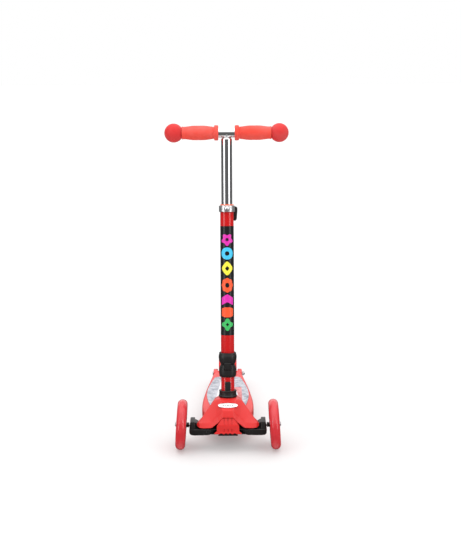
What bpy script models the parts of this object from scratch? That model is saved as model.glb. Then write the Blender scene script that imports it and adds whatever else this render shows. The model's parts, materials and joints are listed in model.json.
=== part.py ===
"""Lean-to-steer kick scooter for a small child, with a folding, height-adjustable column.

Two cambered wheels in front on steering arms, two narrow wheels side by side at the back
under a foot brake. Metres, +Z up, the front faces -Y, the origin is under the middle.
"""

from math import acos, cos, pi, radians, sin

import bmesh
import bpy
from mathutils import Matrix, Vector

MM = 0.001

# ---------------------------------------------------------------- overall sizes
OVERALL_LENGTH = 560 * MM  # front of the tyres to the tail of the fender
TAIL_REACH = 52 * MM  # rear axle to the tail of the fender
BAR_HEIGHT = 739 * MM  # middle of the cross bar above the ground
BAR_WIDTH = 295 * MM  # ball end to ball end
FRONT_TRACK = 222 * MM  # between the middles of the front tyres
CAMBER = radians(3.7)  # front wheels, tops inward
COLUMN_RAKE = radians(8.8)  # column, top backward

# ---------------------------------------------------------------- fits
FIT = 0.3 * MM  # between faces that rest on each other
RUN = 0.5 * MM  # between pieces that move past each other

# ---------------------------------------------------------------- wheels
FRONT_WHEEL_R = 60 * MM
FRONT_WHEEL_W = 24 * MM
FRONT_CORE_R = 41 * MM
REAR_WHEEL_R = 40 * MM
REAR_WHEEL_W = 22 * MM
REAR_CORE_R = 27 * MM
REAR_WHEEL_GAP = 2.4 * MM
BEARING_R = 11 * MM
BEARING_W = 7 * MM
AXLE_R = 4 * MM
AXLE_HEAD_STEP = 1.85 * MM  # head's edge beyond the bolt's shank
AXLE_HEAD_T = 3.2 * MM
AXLE_NUT_H = 6.5 * MM
AXLE_NUT_WALL = 2.6 * MM
SLEEVE_WALL = 1.85 * MM
BEARING_INSET = 0.8 * MM  # bearing's face below the tyre's side

# ---------------------------------------------------------------- steering truck
KINGPIN_X = 36 * MM
KINGPIN_Z = 51 * MM
KINGPIN_R = 4 * MM
KINGPIN_TILT = radians(20)  # top forward, so that leaning the deck turns the wheels
BOSS_R = 9 * MM
BOSS_HALF = 5 * MM
EAR_T = 3 * MM
CENTRING_SPRING_R = KINGPIN_R + 2 * MM
KINGPIN_HEAD_STEP = 2.5 * MM
TONGUE_T = 4 * MM  # plate under the deck that the deck's screws pull up
TONGUE_HALF_W = 18 * MM
ARM_FULL_X = 57 * MM  # where the arm reaches its full height, clear of the ears
ARM_BLOCK_W = 15 * MM  # width of the tall outer block
ARM_TO_TYRE = 7 * MM  # arm's outer face to the tyre's side
ARM_BOTTOM_Z = 41 * MM
ARM_LOW_Z = 55 * MM
ARM_OVER_AXLE = 13.1 * MM  # top of the tall block above the axle
ARM_FRONT_Y = -25 * MM
ARM_BACK_Y = 20 * MM
TIE_OFFSET = 24 * MM  # tie rod behind the kingpins
TIE_R = 6.5 * MM
TIE_T = 4.5 * MM
TIE_SCREW_R = 2 * MM
CORE_HALF_W = 23 * MM
CORE_BOTTOM_Z = 38 * MM
CORE_TOP_Z = 64 * MM
CORE_FRONT_Y = -19 * MM
CORE_BACK_Y = 49 * MM
NOSE_HALF_W = 26.5 * MM
NOSE_FRONT_Y = -32 * MM
NOSE_TOP_Z = 85 * MM
NOSE_LIP_HALF_W = 34 * MM
NOSE_LIP_Z = 48 * MM
NOSE_GROOVE_PITCH = 9 * MM
NOSE_GROOVE_HALF_W = 1 * MM
COVER_WALL = 4.5 * MM
LEG_WALL = 5 * MM
COVER_OPEN = 25 * MM  # how far the cover's room is drawn down through its open bottom

# ---------------------------------------------------------------- column
COLLAR_Y = 45 * MM  # collar centre behind the front axle
COLLAR_Z = 122 * MM
COLLAR_WALL = 6.25 * MM
COLLAR_HALF_H = 8 * MM
TOWER_WALL = 8 * MM  # plastic round the stub tube inside the truck
STUB_BURIED = 48 * MM  # stub tube below the collar centre
TUBE_R = 16 * MM
TUBE_WALL = 1.6 * MM
STUB_SHOWN = 41 * MM  # collar centre to the bottom of the fold joint
FOLD_BASE_H = 30 * MM
FOLD_HEAD_H = 29 * MM
FOLD_GAP = 0.6 * MM
FOLD_PIN_R = 2.5 * MM
FOLD_BARREL_R = 6 * MM
FOLD_LUG_HALF = 7.5 * MM
SOCKET_DEPTH = 15 * MM
CHROME_SHOWN = 172 * MM  # clamp top to the cross bar's middle
CLAMP_H = 15.3 * MM
CLAMP_WALL = 2.7 * MM
CLAMP_SLIT = 1.2 * MM
CLAMP_EAR_T = 6 * MM
SKEWER_R = 2.5 * MM
SKEWER_OUT = 9.5 * MM  # skewer axis outside the tube's wall, behind it
LEVER_X = 20 * MM
LEVER_LENGTH = 35 * MM
LEVER_W = 9.5 * MM
LEVER_HALF_T = 5.2 * MM
LEVER_PIN_R = 1 * MM
BUTTON_R = 6 * MM
BUTTON_STEM_R = 3.5 * MM
BUTTON_TRAVEL = 2 * MM
INNER_R = 13 * MM
INNER_WALL = 1.5 * MM
INNER_BURIED = 203 * MM  # inner tube below the clamp top, at full height
BUSH_LENGTH = 60 * MM
BAR_R = 11 * MM
BAR_WALL = 1.5 * MM

# ---------------------------------------------------------------- grips
GRIP_START_X = 19.5 * MM
GRIP_TO_END = 41.5 * MM  # end of the grip to the end of the ball
GRIP_R = 17.5 * MM
FLANGE_R = 18.2 * MM
FLANGE_W = 10 * MM
BALL_R = 22.5 * MM
BAR_TO_END = 17 * MM  # end of the cross bar to the end of the ball

# ---------------------------------------------------------------- deck
DECK_TOP_Z = 65.5 * MM
DECK_BOTTOM_Z = 40 * MM
DECK_WALL = 8 * MM
DECK_REAR_WALL = 12 * MM  # last pocket to the deck's rear
DECK_TOP_T = 7 * MM
# half width of the deck and of its mat, at distances behind the front axle, in MM
DECK_FRONT_SIDE = [(36, 44), (59, 59), (130, 66.3)]
MAT_FRONT_SIDE = [(90, 38), (125, 47), (183, 54.3)]
# half width at distances ahead of the deck's rear, in MM
DECK_REAR_SIDE = [(149, 58), (43, 43.4), (0, 39)]
MAT_REAR_SIDE = [(151, 52.4), (98, 43), (51, 33)]
MAT_T = 1.2 * MM
POCKET_ROWS = 5
POCKET_START_Y = 116 * MM
RIB_T = 5 * MM
FORK_T = 11.8 * MM
FORK_END_R = 11 * MM
FENDER_PIN_Z = 58 * MM
FENDER_PIN_R = 2.5 * MM
FENDER_LUG_R = 6 * MM
LUG_CLEAR = 4 * MM  # fender's lug to the wheels behind it and to the deck before it
FENDER_T = 3.5 * MM
FENDER_RISE = 16 * MM  # top of the fender above the rear wheels
FENDER_TO_TYRE = 1.1 * MM
FENDER_TO_FORK = 2.7 * MM
FENDER_SPRING_R = 4.2 * MM
SPRING_WIRE_R = 0.8 * MM
DECK_SCREW_R = 2 * MM
DECK_SCREW_Y = 92 * MM
DECK_SCREW_X = 11 * MM

# ---------------------------------------------------------------- worked-out places
FRONT_AXLE_Y = FRONT_WHEEL_R - OVERALL_LENGTH / 2
WHEELBASE = OVERALL_LENGTH - FRONT_WHEEL_R - TAIL_REACH
TREAD_R = FRONT_WHEEL_W / 2  # radius of the rounded tread's section
FRONT_AXLE_Z = (FRONT_WHEEL_R - TREAD_R) * cos(CAMBER) + TREAD_R
AXLE_HEAD_R = AXLE_R + AXLE_HEAD_STEP
SLEEVE_R = AXLE_R + FIT + SLEEVE_WALL
ARM_OUTER_X = (FRONT_TRACK - FRONT_WHEEL_W) / 2 - ARM_TO_TYRE
ARM_STEP_X = ARM_OUTER_X - ARM_BLOCK_W  # foot of the tall outer block
ARM_TOP_Z = FRONT_AXLE_Z + ARM_OVER_AXLE
COLLAR_R = TUBE_R + COLLAR_WALL
GRIP_END_X = BAR_WIDTH / 2 - GRIP_TO_END
FENDER_PIN_Y = WHEELBASE - REAR_WHEEL_R - LUG_CLEAR - FENDER_LUG_R  # behind the front axle
FENDER_TOP_Z = 2 * REAR_WHEEL_R + FENDER_RISE
FENDER_HALF_W = REAR_WHEEL_GAP / 2 + REAR_WHEEL_W + FENDER_TO_TYRE
DECK_REAR_Y = FENDER_PIN_Y - FENDER_LUG_R - LUG_CLEAR
DECK_SIDE = DECK_FRONT_SIDE + [(DECK_REAR_Y / MM - back, half) for back, half in DECK_REAR_SIDE]
MAT_SIDE = MAT_FRONT_SIDE + [(DECK_REAR_Y / MM - back, half) for back, half in MAT_REAR_SIDE]
POCKET_PITCH = (DECK_REAR_Y - DECK_REAR_WALL + RIB_T - POCKET_START_Y) / POCKET_ROWS
FORK_INNER_X = FENDER_HALF_W + FENDER_TO_FORK
FORK_OUTER_X = FORK_INNER_X + FORK_T
BAR_S = (BAR_HEIGHT - COLLAR_Z) / cos(COLUMN_RAKE)  # along the column from the collar
WAIST_S = STUB_SHOWN + FOLD_BASE_H
FOLD_TOP_S = WAIST_S + FOLD_HEAD_H
FOLD_WAIST_R = TUBE_R + 2 * MM
FOLD_LOW_R = TUBE_R + 4.8 * MM
FOLD_HIGH_R = TUBE_R + 5.8 * MM
FOLD_PIN_Y = FOLD_WAIST_R + FOLD_BARREL_R
CLAMP_TOP_S = BAR_S - CHROME_SHOWN
CLAMP_MID_S = CLAMP_TOP_S - CLAMP_H / 2
CLAMP_R = TUBE_R + FIT + CLAMP_WALL
SKEWER_Y = TUBE_R + SKEWER_OUT
TOWER_R = TUBE_R + TOWER_WALL

FRONT = Matrix.Translation((0, FRONT_AXLE_Y, 0))
COLUMN = FRONT @ Matrix.Translation((0, COLLAR_Y, COLLAR_Z)) @ Matrix.Rotation(-COLUMN_RAKE, 4, "X")
REAR = FRONT @ Matrix.Translation((0, WHEELBASE, REAR_WHEEL_R))
ALONG_X = Matrix.Rotation(pi / 2, 4, "Y")  # turns local Z onto +X
ALONG_Y = Matrix.Rotation(-pi / 2, 4, "X")  # turns local Z onto +Y


def king_frame(side):
    """The frame on a kingpin: Z along the pin, X outward on the right-hand side."""
    at = Matrix.Translation((side * KINGPIN_X, 0, KINGPIN_Z))
    return FRONT @ at @ Matrix.Rotation(KINGPIN_TILT, 4, "X")


def wheel_frame(side):
    """The frame on a front wheel: Z along its axle, pointing outward and a little up."""
    at = Matrix.Translation((side * FRONT_TRACK / 2, 0, FRONT_AXLE_Z))
    return FRONT @ at @ Matrix.Rotation(side * (pi / 2 - CAMBER), 4, "Y")


# ---------------------------------------------------------------- helpers
def clear_scene():
    for old in list(bpy.data.objects):
        bpy.data.objects.remove(old, do_unlink=True)


def new_collection(name):
    group = bpy.data.collections.new(name)
    bpy.context.scene.collection.children.link(group)
    return group


def principled(name, colour, roughness, metallic=0.0):
    """A material with one Principled BSDF; colour is linear RGB."""
    material = bpy.data.materials.new(name)
    material.use_nodes = True
    shader = material.node_tree.nodes["Principled BSDF"]
    shader.inputs["Base Color"].default_value = (*colour, 1)
    shader.inputs["Roughness"].default_value = roughness
    shader.inputs["Metallic"].default_value = metallic
    return material


def add_object(name, mesh, frame, finish=None):
    """Links an object; with no finish it is a cutter or a tool that isn't a part."""
    made = bpy.data.objects.new(name, mesh)
    made.matrix_world = frame
    if finish is None:
        TOOLS.objects.link(made)
        made.hide_render = True
        made.display_type = "WIRE"
    else:
        PARTS.objects.link(made)
        made.data.materials.append(MATERIALS[finish])
    return made


def finish_mesh(name, shape):
    """Turns a bmesh into a smooth-shaded mesh with sharp edges past 35 degrees."""
    bmesh.ops.recalc_face_normals(shape, faces=shape.faces[:])
    mesh = bpy.data.meshes.new(name)
    shape.to_mesh(mesh)
    shape.free()
    mesh.shade_smooth()
    mesh.set_sharp_from_angle(angle=radians(35))
    return mesh


def turned(name, profile, frame, finish=None, steps=24):
    """A Screw of (radius, height) points about local Z, ordered down the outer side."""
    area = sum(
        a[0] * b[1] - b[0] * a[1] for a, b in zip(profile, profile[1:] + profile[:1])
    )
    points = profile if area < 0 else profile[::-1]
    mesh = bpy.data.meshes.new(name)
    links = [(i, i + 1) for i in range(len(points) - 1)]
    if min(radius for radius, _ in points) > 0:
        links.append((len(points) - 1, 0))
    mesh.from_pydata([(radius, 0, height) for radius, height in points], links, [])
    made = add_object(name, mesh, frame, finish)
    screw = made.modifiers.new("turn", "SCREW")
    screw.axis = "Z"
    screw.steps = steps
    screw.render_steps = steps
    screw.use_merge_vertices = True
    screw.merge_threshold = 0.00001
    return made


def ring(name, outer, inner, low, high, frame, finish=None, steps=24):
    """A plain tube along local Z."""
    profile = [(inner, high), (outer, high), (outer, low), (inner, low)]
    return turned(name, profile, frame, finish, steps)


def rod(name, radius, low, high, frame, finish=None, steps=16):
    """A plain cylinder along local Z."""
    shape = bmesh.new()
    bmesh.ops.create_cone(
        shape, cap_ends=True, segments=steps, radius1=radius, radius2=radius, depth=high - low
    )
    bmesh.ops.translate(shape, verts=shape.verts[:], vec=(0, 0, (low + high) / 2))
    return add_object(name, finish_mesh(name, shape), frame, finish)


def block(name, low, high, frame, finish=None):
    """A box between two corners."""
    shape = bmesh.new()
    bmesh.ops.create_cube(shape, size=1)
    low, high = Vector(low), Vector(high)
    bmesh.ops.scale(shape, verts=shape.verts[:], vec=high - low)
    bmesh.ops.translate(shape, verts=shape.verts[:], vec=(low + high) / 2)
    return add_object(name, finish_mesh(name, shape), frame, finish)


def hull(name, points, frame, finish=None):
    """The convex solid round some points."""
    shape = bmesh.new()
    for point in points:
        shape.verts.new(point)
    result = bmesh.ops.convex_hull(shape, input=shape.verts[:])
    loose = {v for v in result["geom_interior"] + result["geom_unused"] if v.is_valid}
    bmesh.ops.delete(shape, geom=list(loose), context="VERTS")
    bmesh.ops.dissolve_limit(
        shape, angle_limit=radians(0.5), verts=shape.verts[:], edges=shape.edges[:]
    )
    return add_object(name, finish_mesh(name, shape), frame, finish)


def outline_plate(name, outline, low, high, finish=None):
    """A flat plate from a smooth closed outline of (x, y) points, in the front frame."""
    curve = bpy.data.curves.new(name, "CURVE")
    curve.dimensions = "2D"
    curve.fill_mode = "BOTH"
    curve.extrude = (high - low) / 2
    curve.resolution_u = 4
    spline = curve.splines.new("BEZIER")
    spline.bezier_points.add(len(outline) - 1)
    spline.use_cyclic_u = True
    last = len(outline) // 2 - 1
    corners = (0, last, last + 1, len(outline) - 1)
    for index, (point, (x, y)) in enumerate(zip(spline.bezier_points, outline)):
        point.co = (x, y, 0)
        kind = "VECTOR" if index in corners else "AUTO"
        point.handle_left_type = kind
        point.handle_right_type = kind
    made = bpy.data.objects.new(name, curve)
    bpy.context.scene.collection.objects.link(made)
    made.matrix_world = FRONT @ Matrix.Translation((0, 0, (low + high) / 2))
    return meshed(made, name, finish)


def wire(name, points, radius, frame, finish):
    """A round wire along some points."""
    curve = bpy.data.curves.new(name, "CURVE")
    curve.dimensions = "3D"
    curve.bevel_depth = radius
    curve.bevel_resolution = 0
    curve.use_fill_caps = True
    spline = curve.splines.new("POLY")
    spline.points.add(len(points) - 1)
    for point, place in zip(spline.points, points):
        point.co = (*place, 1)
    made = bpy.data.objects.new(name, curve)
    made.matrix_world = frame
    PARTS.objects.link(made)
    made.data.materials.append(MATERIALS[finish])
    return made


def meshed(source, name, finish=None):
    """Replaces an object by the mesh that it evaluates to, with its caps welded."""
    bpy.context.view_layer.update()
    graph = bpy.context.evaluated_depsgraph_get()
    evaluated = source.evaluated_get(graph)
    mesh = bpy.data.meshes.new_from_object(evaluated)
    frame = source.matrix_world.copy()
    bpy.data.objects.remove(source, do_unlink=True)
    shape = bmesh.new()
    shape.from_mesh(mesh)
    bpy.data.meshes.remove(mesh)
    bmesh.ops.remove_doubles(shape, verts=shape.verts[:], dist=0.00001)
    return add_object(name, finish_mesh(name, shape), frame, finish)


def cut(target, *cutters):
    for cutter in cutters:
        change = target.modifiers.new("cut " + cutter.name, "BOOLEAN")
        change.operation = "DIFFERENCE"
        change.object = cutter


def join(target, *others):
    for other in others:
        change = target.modifiers.new("join " + other.name, "BOOLEAN")
        change.operation = "UNION"
        change.object = other


def soften(target, width, segments=1, angle=40):
    """Bevels the edges that are sharper than an angle."""
    change = target.modifiers.new("soften", "BEVEL")
    change.width = width
    change.segments = segments
    change.limit_method = "ANGLE"
    change.angle_limit = radians(angle)


def pivot(name, place, riders, parent=None):
    """An empty on a joint's axis, which carries the pieces that turn or slide there."""
    made = bpy.data.objects.new(name, None)
    PARTS.objects.link(made)
    made.matrix_world = Matrix.Translation(place)
    bpy.context.view_layer.update()
    if parent is not None:
        made.parent = parent
        made.matrix_parent_inverse = parent.matrix_world.inverted()
    bpy.context.view_layer.update()
    for rider in riders:
        rider.parent = made
        rider.matrix_parent_inverse = made.matrix_world.inverted()
    return made


def side_name(side):
    return "right" if side > 0 else "left"


def mirrored(points):
    """Adds each point's mirror image in x."""
    return points + [(-x, y, z) for x, y, z in points]


def shrunk(points, wall, below):
    """Moves points a wall thickness towards their middle and adds copies below them."""
    middle = sum((Vector(p) for p in points), Vector()) / len(points)
    inner = [Vector(p) + (middle - Vector(p)).normalized() * wall for p in points]
    return inner + [Vector((p.x, p.y, p.z - below)) for p in inner]


def half_width(table, y):
    """Straight-line half width between the listed (y, half width) stations, in metres."""
    for (y0, w0), (y1, w1) in zip(table, table[1:]):
        if y <= y1 * MM:
            break
    return (w0 + (w1 - w0) * (y / MM - y0) / (y1 - y0)) * MM


def both_sides(table):
    """A closed outline from half widths: up the right side and back down the left."""
    right = [(w * MM, y * MM) for y, w in table]
    return right + [(-x, y) for x, y in reversed(right)]


# ---------------------------------------------------------------- deck and rear
def deck_board():
    board = outline_plate("deck_board", both_sides(DECK_SIDE), DECK_BOTTOM_Z, DECK_TOP_Z, "red plastic")
    soften(board, 5 * MM, 2, 50)
    for row in range(POCKET_ROWS):
        start = POCKET_START_Y + row * POCKET_PITCH
        end = start + POCKET_PITCH - RIB_T
        for side in (-1, 1):
            wide = min(half_width(DECK_SIDE, start), half_width(DECK_SIDE, end)) - DECK_WALL
            low = (min(side * RIB_T / 2, side * wide), start, DECK_BOTTOM_Z - 5 * MM)
            high = (max(side * RIB_T / 2, side * wide), end, DECK_TOP_Z - DECK_TOP_T)
            cut(board, block(f"pocket_{row}_{side_name(side)}", low, high, FRONT))
    for side in (-1, 1):
        join(board, fork_side(side))
        hole = rod(
            f"deck_screw_hole_{side_name(side)}", DECK_SCREW_R + FIT,
            DECK_BOTTOM_Z - 5 * MM, DECK_BOTTOM_Z + 12 * MM,
            FRONT @ Matrix.Translation((side * DECK_SCREW_X, DECK_SCREW_Y, 0)),
        )
        cut(board, hole)
    reach = FORK_OUTER_X + 10 * MM
    axle_hole = rod("axle_hole", AXLE_R + FIT, -reach, reach, REAR @ ALONG_X)
    pin_at = FRONT @ Matrix.Translation((0, FENDER_PIN_Y, FENDER_PIN_Z)) @ ALONG_X
    pin_hole = rod("fender_pin_hole", FENDER_PIN_R + FIT, -reach, reach, pin_at)
    tower_room = rod("tower_room", TOWER_R + RUN, -110 * MM, 0, COLUMN, steps=32)
    core_room = block(
        "core_room", (-CORE_HALF_W - RUN, 0, DECK_BOTTOM_Z - 5 * MM),
        (CORE_HALF_W + RUN, CORE_BACK_Y + RUN, DECK_TOP_Z + 5 * MM), FRONT,
    )
    cut(board, axle_hole, pin_hole, tower_room, core_room)
    return board


def fork_side(side):
    """One arm of the rear fork: a root in the deck drawn out to a round end on the axle."""
    root_y = (DECK_REAR_Y - 12 * MM, DECK_REAR_Y + 14 * MM)
    points = []
    for x in (FORK_INNER_X, FORK_OUTER_X):
        for y in root_y:
            points.append((side * x, y, DECK_BOTTOM_Z + 2 * MM))
            points.append((side * x, y, DECK_TOP_Z - 0.5 * MM))
        for step in range(12):
            turn = step * pi / 6
            y = WHEELBASE + FORK_END_R * cos(turn)
            points.append((side * x, y, REAR_WHEEL_R + FORK_END_R * sin(turn)))
    return hull(f"fork_{side_name(side)}", points, FRONT)


def deck_mat():
    low = DECK_TOP_Z + FIT
    outline_plate("deck_mat", both_sides(MAT_SIDE), low, low + MAT_T, "printed mat")


def rear_axle():
    outer = FORK_OUTER_X + FIT
    bolt_past = AXLE_NUT_H + 2.5 * MM
    profile = [
        (0, outer + bolt_past), (AXLE_R, outer + bolt_past), (AXLE_R, -outer),
        (AXLE_HEAD_R, -outer), (AXLE_HEAD_R, -outer - AXLE_HEAD_T), (0, -outer - AXLE_HEAD_T),
    ]
    turned("rear_axle", profile, REAR @ ALONG_X, "steel", 16)
    nut = rod("rear_axle_nut", AXLE_R + AXLE_NUT_WALL, outer, outer + AXLE_NUT_H, REAR @ ALONG_X, "steel", 6)
    cut(nut, rod("nut_bore", AXLE_R + FIT, 0, 2 * outer, REAR @ ALONG_X))
    ring(
        "rear_axle_spacer", SLEEVE_R, AXLE_R + FIT,
        -rear_bearing_inner() + FIT, rear_bearing_inner() - FIT, REAR @ ALONG_X, "aluminium", 16,
    )


def rear_bearing_inner():
    """Distance from the middle of the bike to the nearest face of an inner bearing."""
    return REAR_WHEEL_GAP / 2 + BEARING_INSET


def wheel(name, radius, width, core_radius, frame, tread_steps=28):
    """A tyre with a round tread, its core and two bearings, along local Z."""
    half = width / 2
    tread = []
    for step in range(5):
        turn = radians(72 - 36 * step)
        tread.append((radius - half + half * cos(turn), half * sin(turn)))
    side_in = half * 0.86
    tyre = [(core_radius + FIT, side_in), *tread, (core_radius + FIT, -side_in)]
    pieces = [turned(f"{name}_tyre", tyre, frame, "wheel rubber", tread_steps)]
    rim, web, face = 4 * MM, 3.5 * MM, half - 1.5 * MM
    hub = BEARING_R + 4 * MM
    core = [
        (BEARING_R + FIT, face), (hub, face), (hub, web), (core_radius - rim, web),
        (core_radius - rim, face), (core_radius, face), (core_radius, -face),
        (core_radius - rim, -face), (core_radius - rim, -web), (hub, -web),
        (hub, -face), (BEARING_R + FIT, -face),
    ]
    pieces.append(turned(f"{name}_core", core, frame, "wheel core", 20))
    for label, direction in (("outer", 1), ("inner", -1)):
        face = half - BEARING_INSET
        low, high = sorted((direction * face, direction * (face - BEARING_W)))
        bearing = ring(
            f"{name}_{label}_bearing", BEARING_R, AXLE_R + FIT, low, high, frame, "steel", 16
        )
        pieces.append(bearing)
    return pieces


def rear_wheels():
    for side in (-1, 1):
        at = REAR @ Matrix.Translation((side * (REAR_WHEEL_GAP + REAR_WHEEL_W) / 2, 0, 0))
        frame = at @ Matrix.Rotation(side * pi / 2, 4, "Y")
        name = f"rear_{side_name(side)}"
        pieces = wheel(name, REAR_WHEEL_R, REAR_WHEEL_W, REAR_CORE_R, frame, 24)
        pivot(f"{name}_wheel_pivot", frame.translation, pieces)


def rear_fender():
    """A curved shell over the rear wheels, which the foot presses down as a brake."""
    rise = FENDER_TOP_Z
    crown = [
        (FENDER_PIN_Y - 3 * MM, FENDER_PIN_Z + 3 * MM), (FENDER_PIN_Y + 3 * MM, rise - 20 * MM),
        (FENDER_PIN_Y + 17 * MM, rise - 8.5 * MM), (WHEELBASE - 16 * MM, rise - 2 * MM),
        (WHEELBASE + 1 * MM, rise), (WHEELBASE + 20 * MM, rise - 3 * MM),
        (WHEELBASE + 38 * MM, rise - 13 * MM), (WHEELBASE + TAIL_REACH, rise - 29 * MM),
    ]
    wide = FENDER_HALF_W
    mesh = bpy.data.meshes.new("rear_fender")
    points = [(x, y, z) for y, z in crown for x in (-wide, wide)]
    strips = [(2 * i, 2 * i + 1, 2 * i + 3, 2 * i + 2) for i in range(len(crown) - 1)]
    mesh.from_pydata(points, [], strips)
    fender = add_object("rear_fender", mesh, FRONT, "red plastic")
    wall = fender.modifiers.new("wall", "SOLIDIFY")
    wall.thickness = FENDER_T
    wall.offset = -1
    wall.use_even_offset = True
    pin_at = FRONT @ Matrix.Translation((0, FENDER_PIN_Y, FENDER_PIN_Z)) @ ALONG_X
    lug = rod("fender_lug", FENDER_LUG_R, -wide, wide, pin_at)
    join(fender, lug)
    cut(fender, rod("fender_bore", FENDER_PIN_R + FIT, -wide * 2, wide * 2, pin_at))
    room = block("fender_spring_room", (-9 * MM, FENDER_PIN_Y - 8 * MM, FENDER_PIN_Z - 8 * MM),
                 (9 * MM, FENDER_PIN_Y + 9 * MM, FENDER_PIN_Z + 7 * MM), FRONT)
    cut(fender, room)
    pivot("fender_pivot", pin_at.translation, [fender])
    reach = FORK_OUTER_X - 3 * MM
    rod("fender_pin", FENDER_PIN_R, -reach, reach, pin_at, "steel", 12)
    coil = [
        (x, FENDER_SPRING_R * cos(turn), FENDER_SPRING_R * sin(turn))
        for x, turn in ((-7 * MM + 14 * MM * i / 28, i * pi / 4) for i in range(29))
    ]
    pin_flat = FRONT @ Matrix.Translation((0, FENDER_PIN_Y, FENDER_PIN_Z))
    wire("fender_spring", coil, SPRING_WIRE_R, pin_flat, "steel")


# ---------------------------------------------------------------- front truck
def truck_housing():
    """The moulded truck: a core, two pairs of ears for the kingpins and the stem's tower."""
    housing = block(
        "truck_housing", (-CORE_HALF_W, CORE_FRONT_Y, CORE_BOTTOM_Z),
        (CORE_HALF_W, CORE_BACK_Y, CORE_TOP_Z), FRONT, "black plastic",
    )
    tower_top = -COLLAR_HALF_H - 4 * MM
    tower = rod("tower", TOWER_R, -84 * MM, tower_top, COLUMN, steps=32)
    tongue = block(
        "tongue", (-TONGUE_HALF_W, COLLAR_Y - 10 * MM, DECK_BOTTOM_Z - TONGUE_T),
        (TONGUE_HALF_W, DECK_SCREW_Y + 12 * MM, DECK_BOTTOM_Z - FIT), FRONT,
    )
    join(housing, tower, tongue)
    for side in (-1, 1):
        near = side * (CORE_HALF_W - 5 * MM - KINGPIN_X)
        far = side * (BOSS_R + 1 * MM)
        frame = king_frame(side)
        for level in (-1, 1):
            z0, z1 = sorted((level * (BOSS_HALF + RUN), level * (BOSS_HALF + RUN + EAR_T)))
            ear = block(
                f"ear_{side_name(side)}_{level}", (min(near, far), -14 * MM, z0),
                (max(near, far), 12 * MM, z1), frame,
            )
            join(housing, ear)
        cut(housing, rod(f"kingpin_hole_{side_name(side)}", KINGPIN_R + FIT, -20 * MM, 20 * MM, frame))
        cut(housing, rod(
            f"tongue_hole_{side_name(side)}", DECK_SCREW_R + FIT, 30 * MM, 45 * MM,
            FRONT @ Matrix.Translation((side * DECK_SCREW_X, DECK_SCREW_Y, 0)),
        ))
    slot = block(
        "tie_slot", (-60 * MM, TIE_OFFSET - 9 * MM, -6 * MM), (60 * MM, TIE_OFFSET + 9 * MM, 9 * MM),
        king_frame(1) @ Matrix.Translation((-KINGPIN_X, 0, 0)),
    )
    socket = rod("stem_socket", TUBE_R + FIT, -STUB_BURIED - FIT, 10 * MM, COLUMN, steps=24)
    cut(housing, slot, socket)


def deck_screws():
    for side in (-1, 1):
        head = DECK_BOTTOM_Z - TONGUE_T - FIT
        profile = [
            (0, DECK_BOTTOM_Z + 11 * MM), (DECK_SCREW_R, DECK_BOTTOM_Z + 11 * MM),
            (DECK_SCREW_R, head), (2 * DECK_SCREW_R, head),
            (2 * DECK_SCREW_R, head - 2 * MM), (0, head - 2 * MM),
        ]
        at = FRONT @ Matrix.Translation((side * DECK_SCREW_X, DECK_SCREW_Y, 0))
        turned(f"deck_screw_{side_name(side)}", profile, at, "steel", 10)


def cover_points():
    """Outer corners of the front cover: its middle, and one of its two legs."""
    top_front = COLLAR_Z - 4.5 * MM
    top_back = COLLAR_Z - 12.6 * MM
    tip = ARM_STEP_X - 3 * MM  # leg's outer end, clear of the arm's tall block
    middle = mirrored([
        (COLLAR_R + 1.75 * MM, 22 * MM, top_front), (COLLAR_R - 0.25 * MM, 74 * MM, top_back),
        (36 * MM, 24 * MM, top_front - 6 * MM), (33 * MM, 72 * MM, top_back - 6 * MM),
        (37 * MM, 37 * MM, DECK_TOP_Z + 1 * MM), (32 * MM, 79 * MM, DECK_TOP_Z + 1 * MM),
        (12 * MM, -10 * MM, top_front - 19 * MM), (12.4 * MM, ARM_FRONT_Y, NOSE_TOP_Z),
        (36 * MM, 13 * MM, 73 * MM),
    ])
    leg = [
        (12.4 * MM, ARM_FRONT_Y, NOSE_TOP_Z), (41 * MM, ARM_FRONT_Y, 60 * MM),
        (tip - 4 * MM, ARM_FRONT_Y + 1 * MM, 60 * MM), (tip, ARM_FRONT_Y + 5 * MM, 66 * MM),
        (36 * MM, 24 * MM, top_front - 6 * MM), (12 * MM, -10 * MM, top_front - 19 * MM),
        (tip - 2 * MM, 6 * MM, 68 * MM), (tip - 8 * MM, 13 * MM, 62 * MM), (41 * MM, 13 * MM, 62 * MM),
    ]
    return middle, leg


def front_cover():
    """A faceted A-shaped shell over the truck, open below."""
    middle, leg = cover_points()
    cover = hull("front_cover", middle, FRONT, "red plastic")
    for side in (-1, 1):
        join(cover, hull(f"leg_{side_name(side)}", [(side * x, y, z) for x, y, z in leg], FRONT))
    soften(cover, 1.5 * MM, 1, 25)
    cut(cover, hull("cover_room", shrunk(middle, COVER_WALL, COVER_OPEN), FRONT))
    for side in (-1, 1):
        room = shrunk([(side * x, y, z) for x, y, z in leg], LEG_WALL, COVER_OPEN)
        cut(cover, hull(f"leg_room_{side_name(side)}", room, FRONT))
    cut(cover, rod("tower_gap", TOWER_R + RUN, -100 * MM, -COLLAR_HALF_H - 3.4 * MM, COLUMN, steps=32))
    cut(cover, rod("stub_gap", TUBE_R + RUN, -60 * MM, 20 * MM, COLUMN))


def badge_frame():
    """The frame on the middle of the cover's sloping top face, Z out of the face."""
    front = Vector((0, -10 * MM, COLLAR_Z - 23.5 * MM))
    back = Vector((0, 22 * MM, COLLAR_Z - 4.5 * MM))
    run = back - front
    tilt = Vector((0, 1, 0)).angle(run)
    return FRONT @ Matrix.Translation(front + run * 0.5) @ Matrix.Rotation(tilt, 4, "X")


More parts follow.
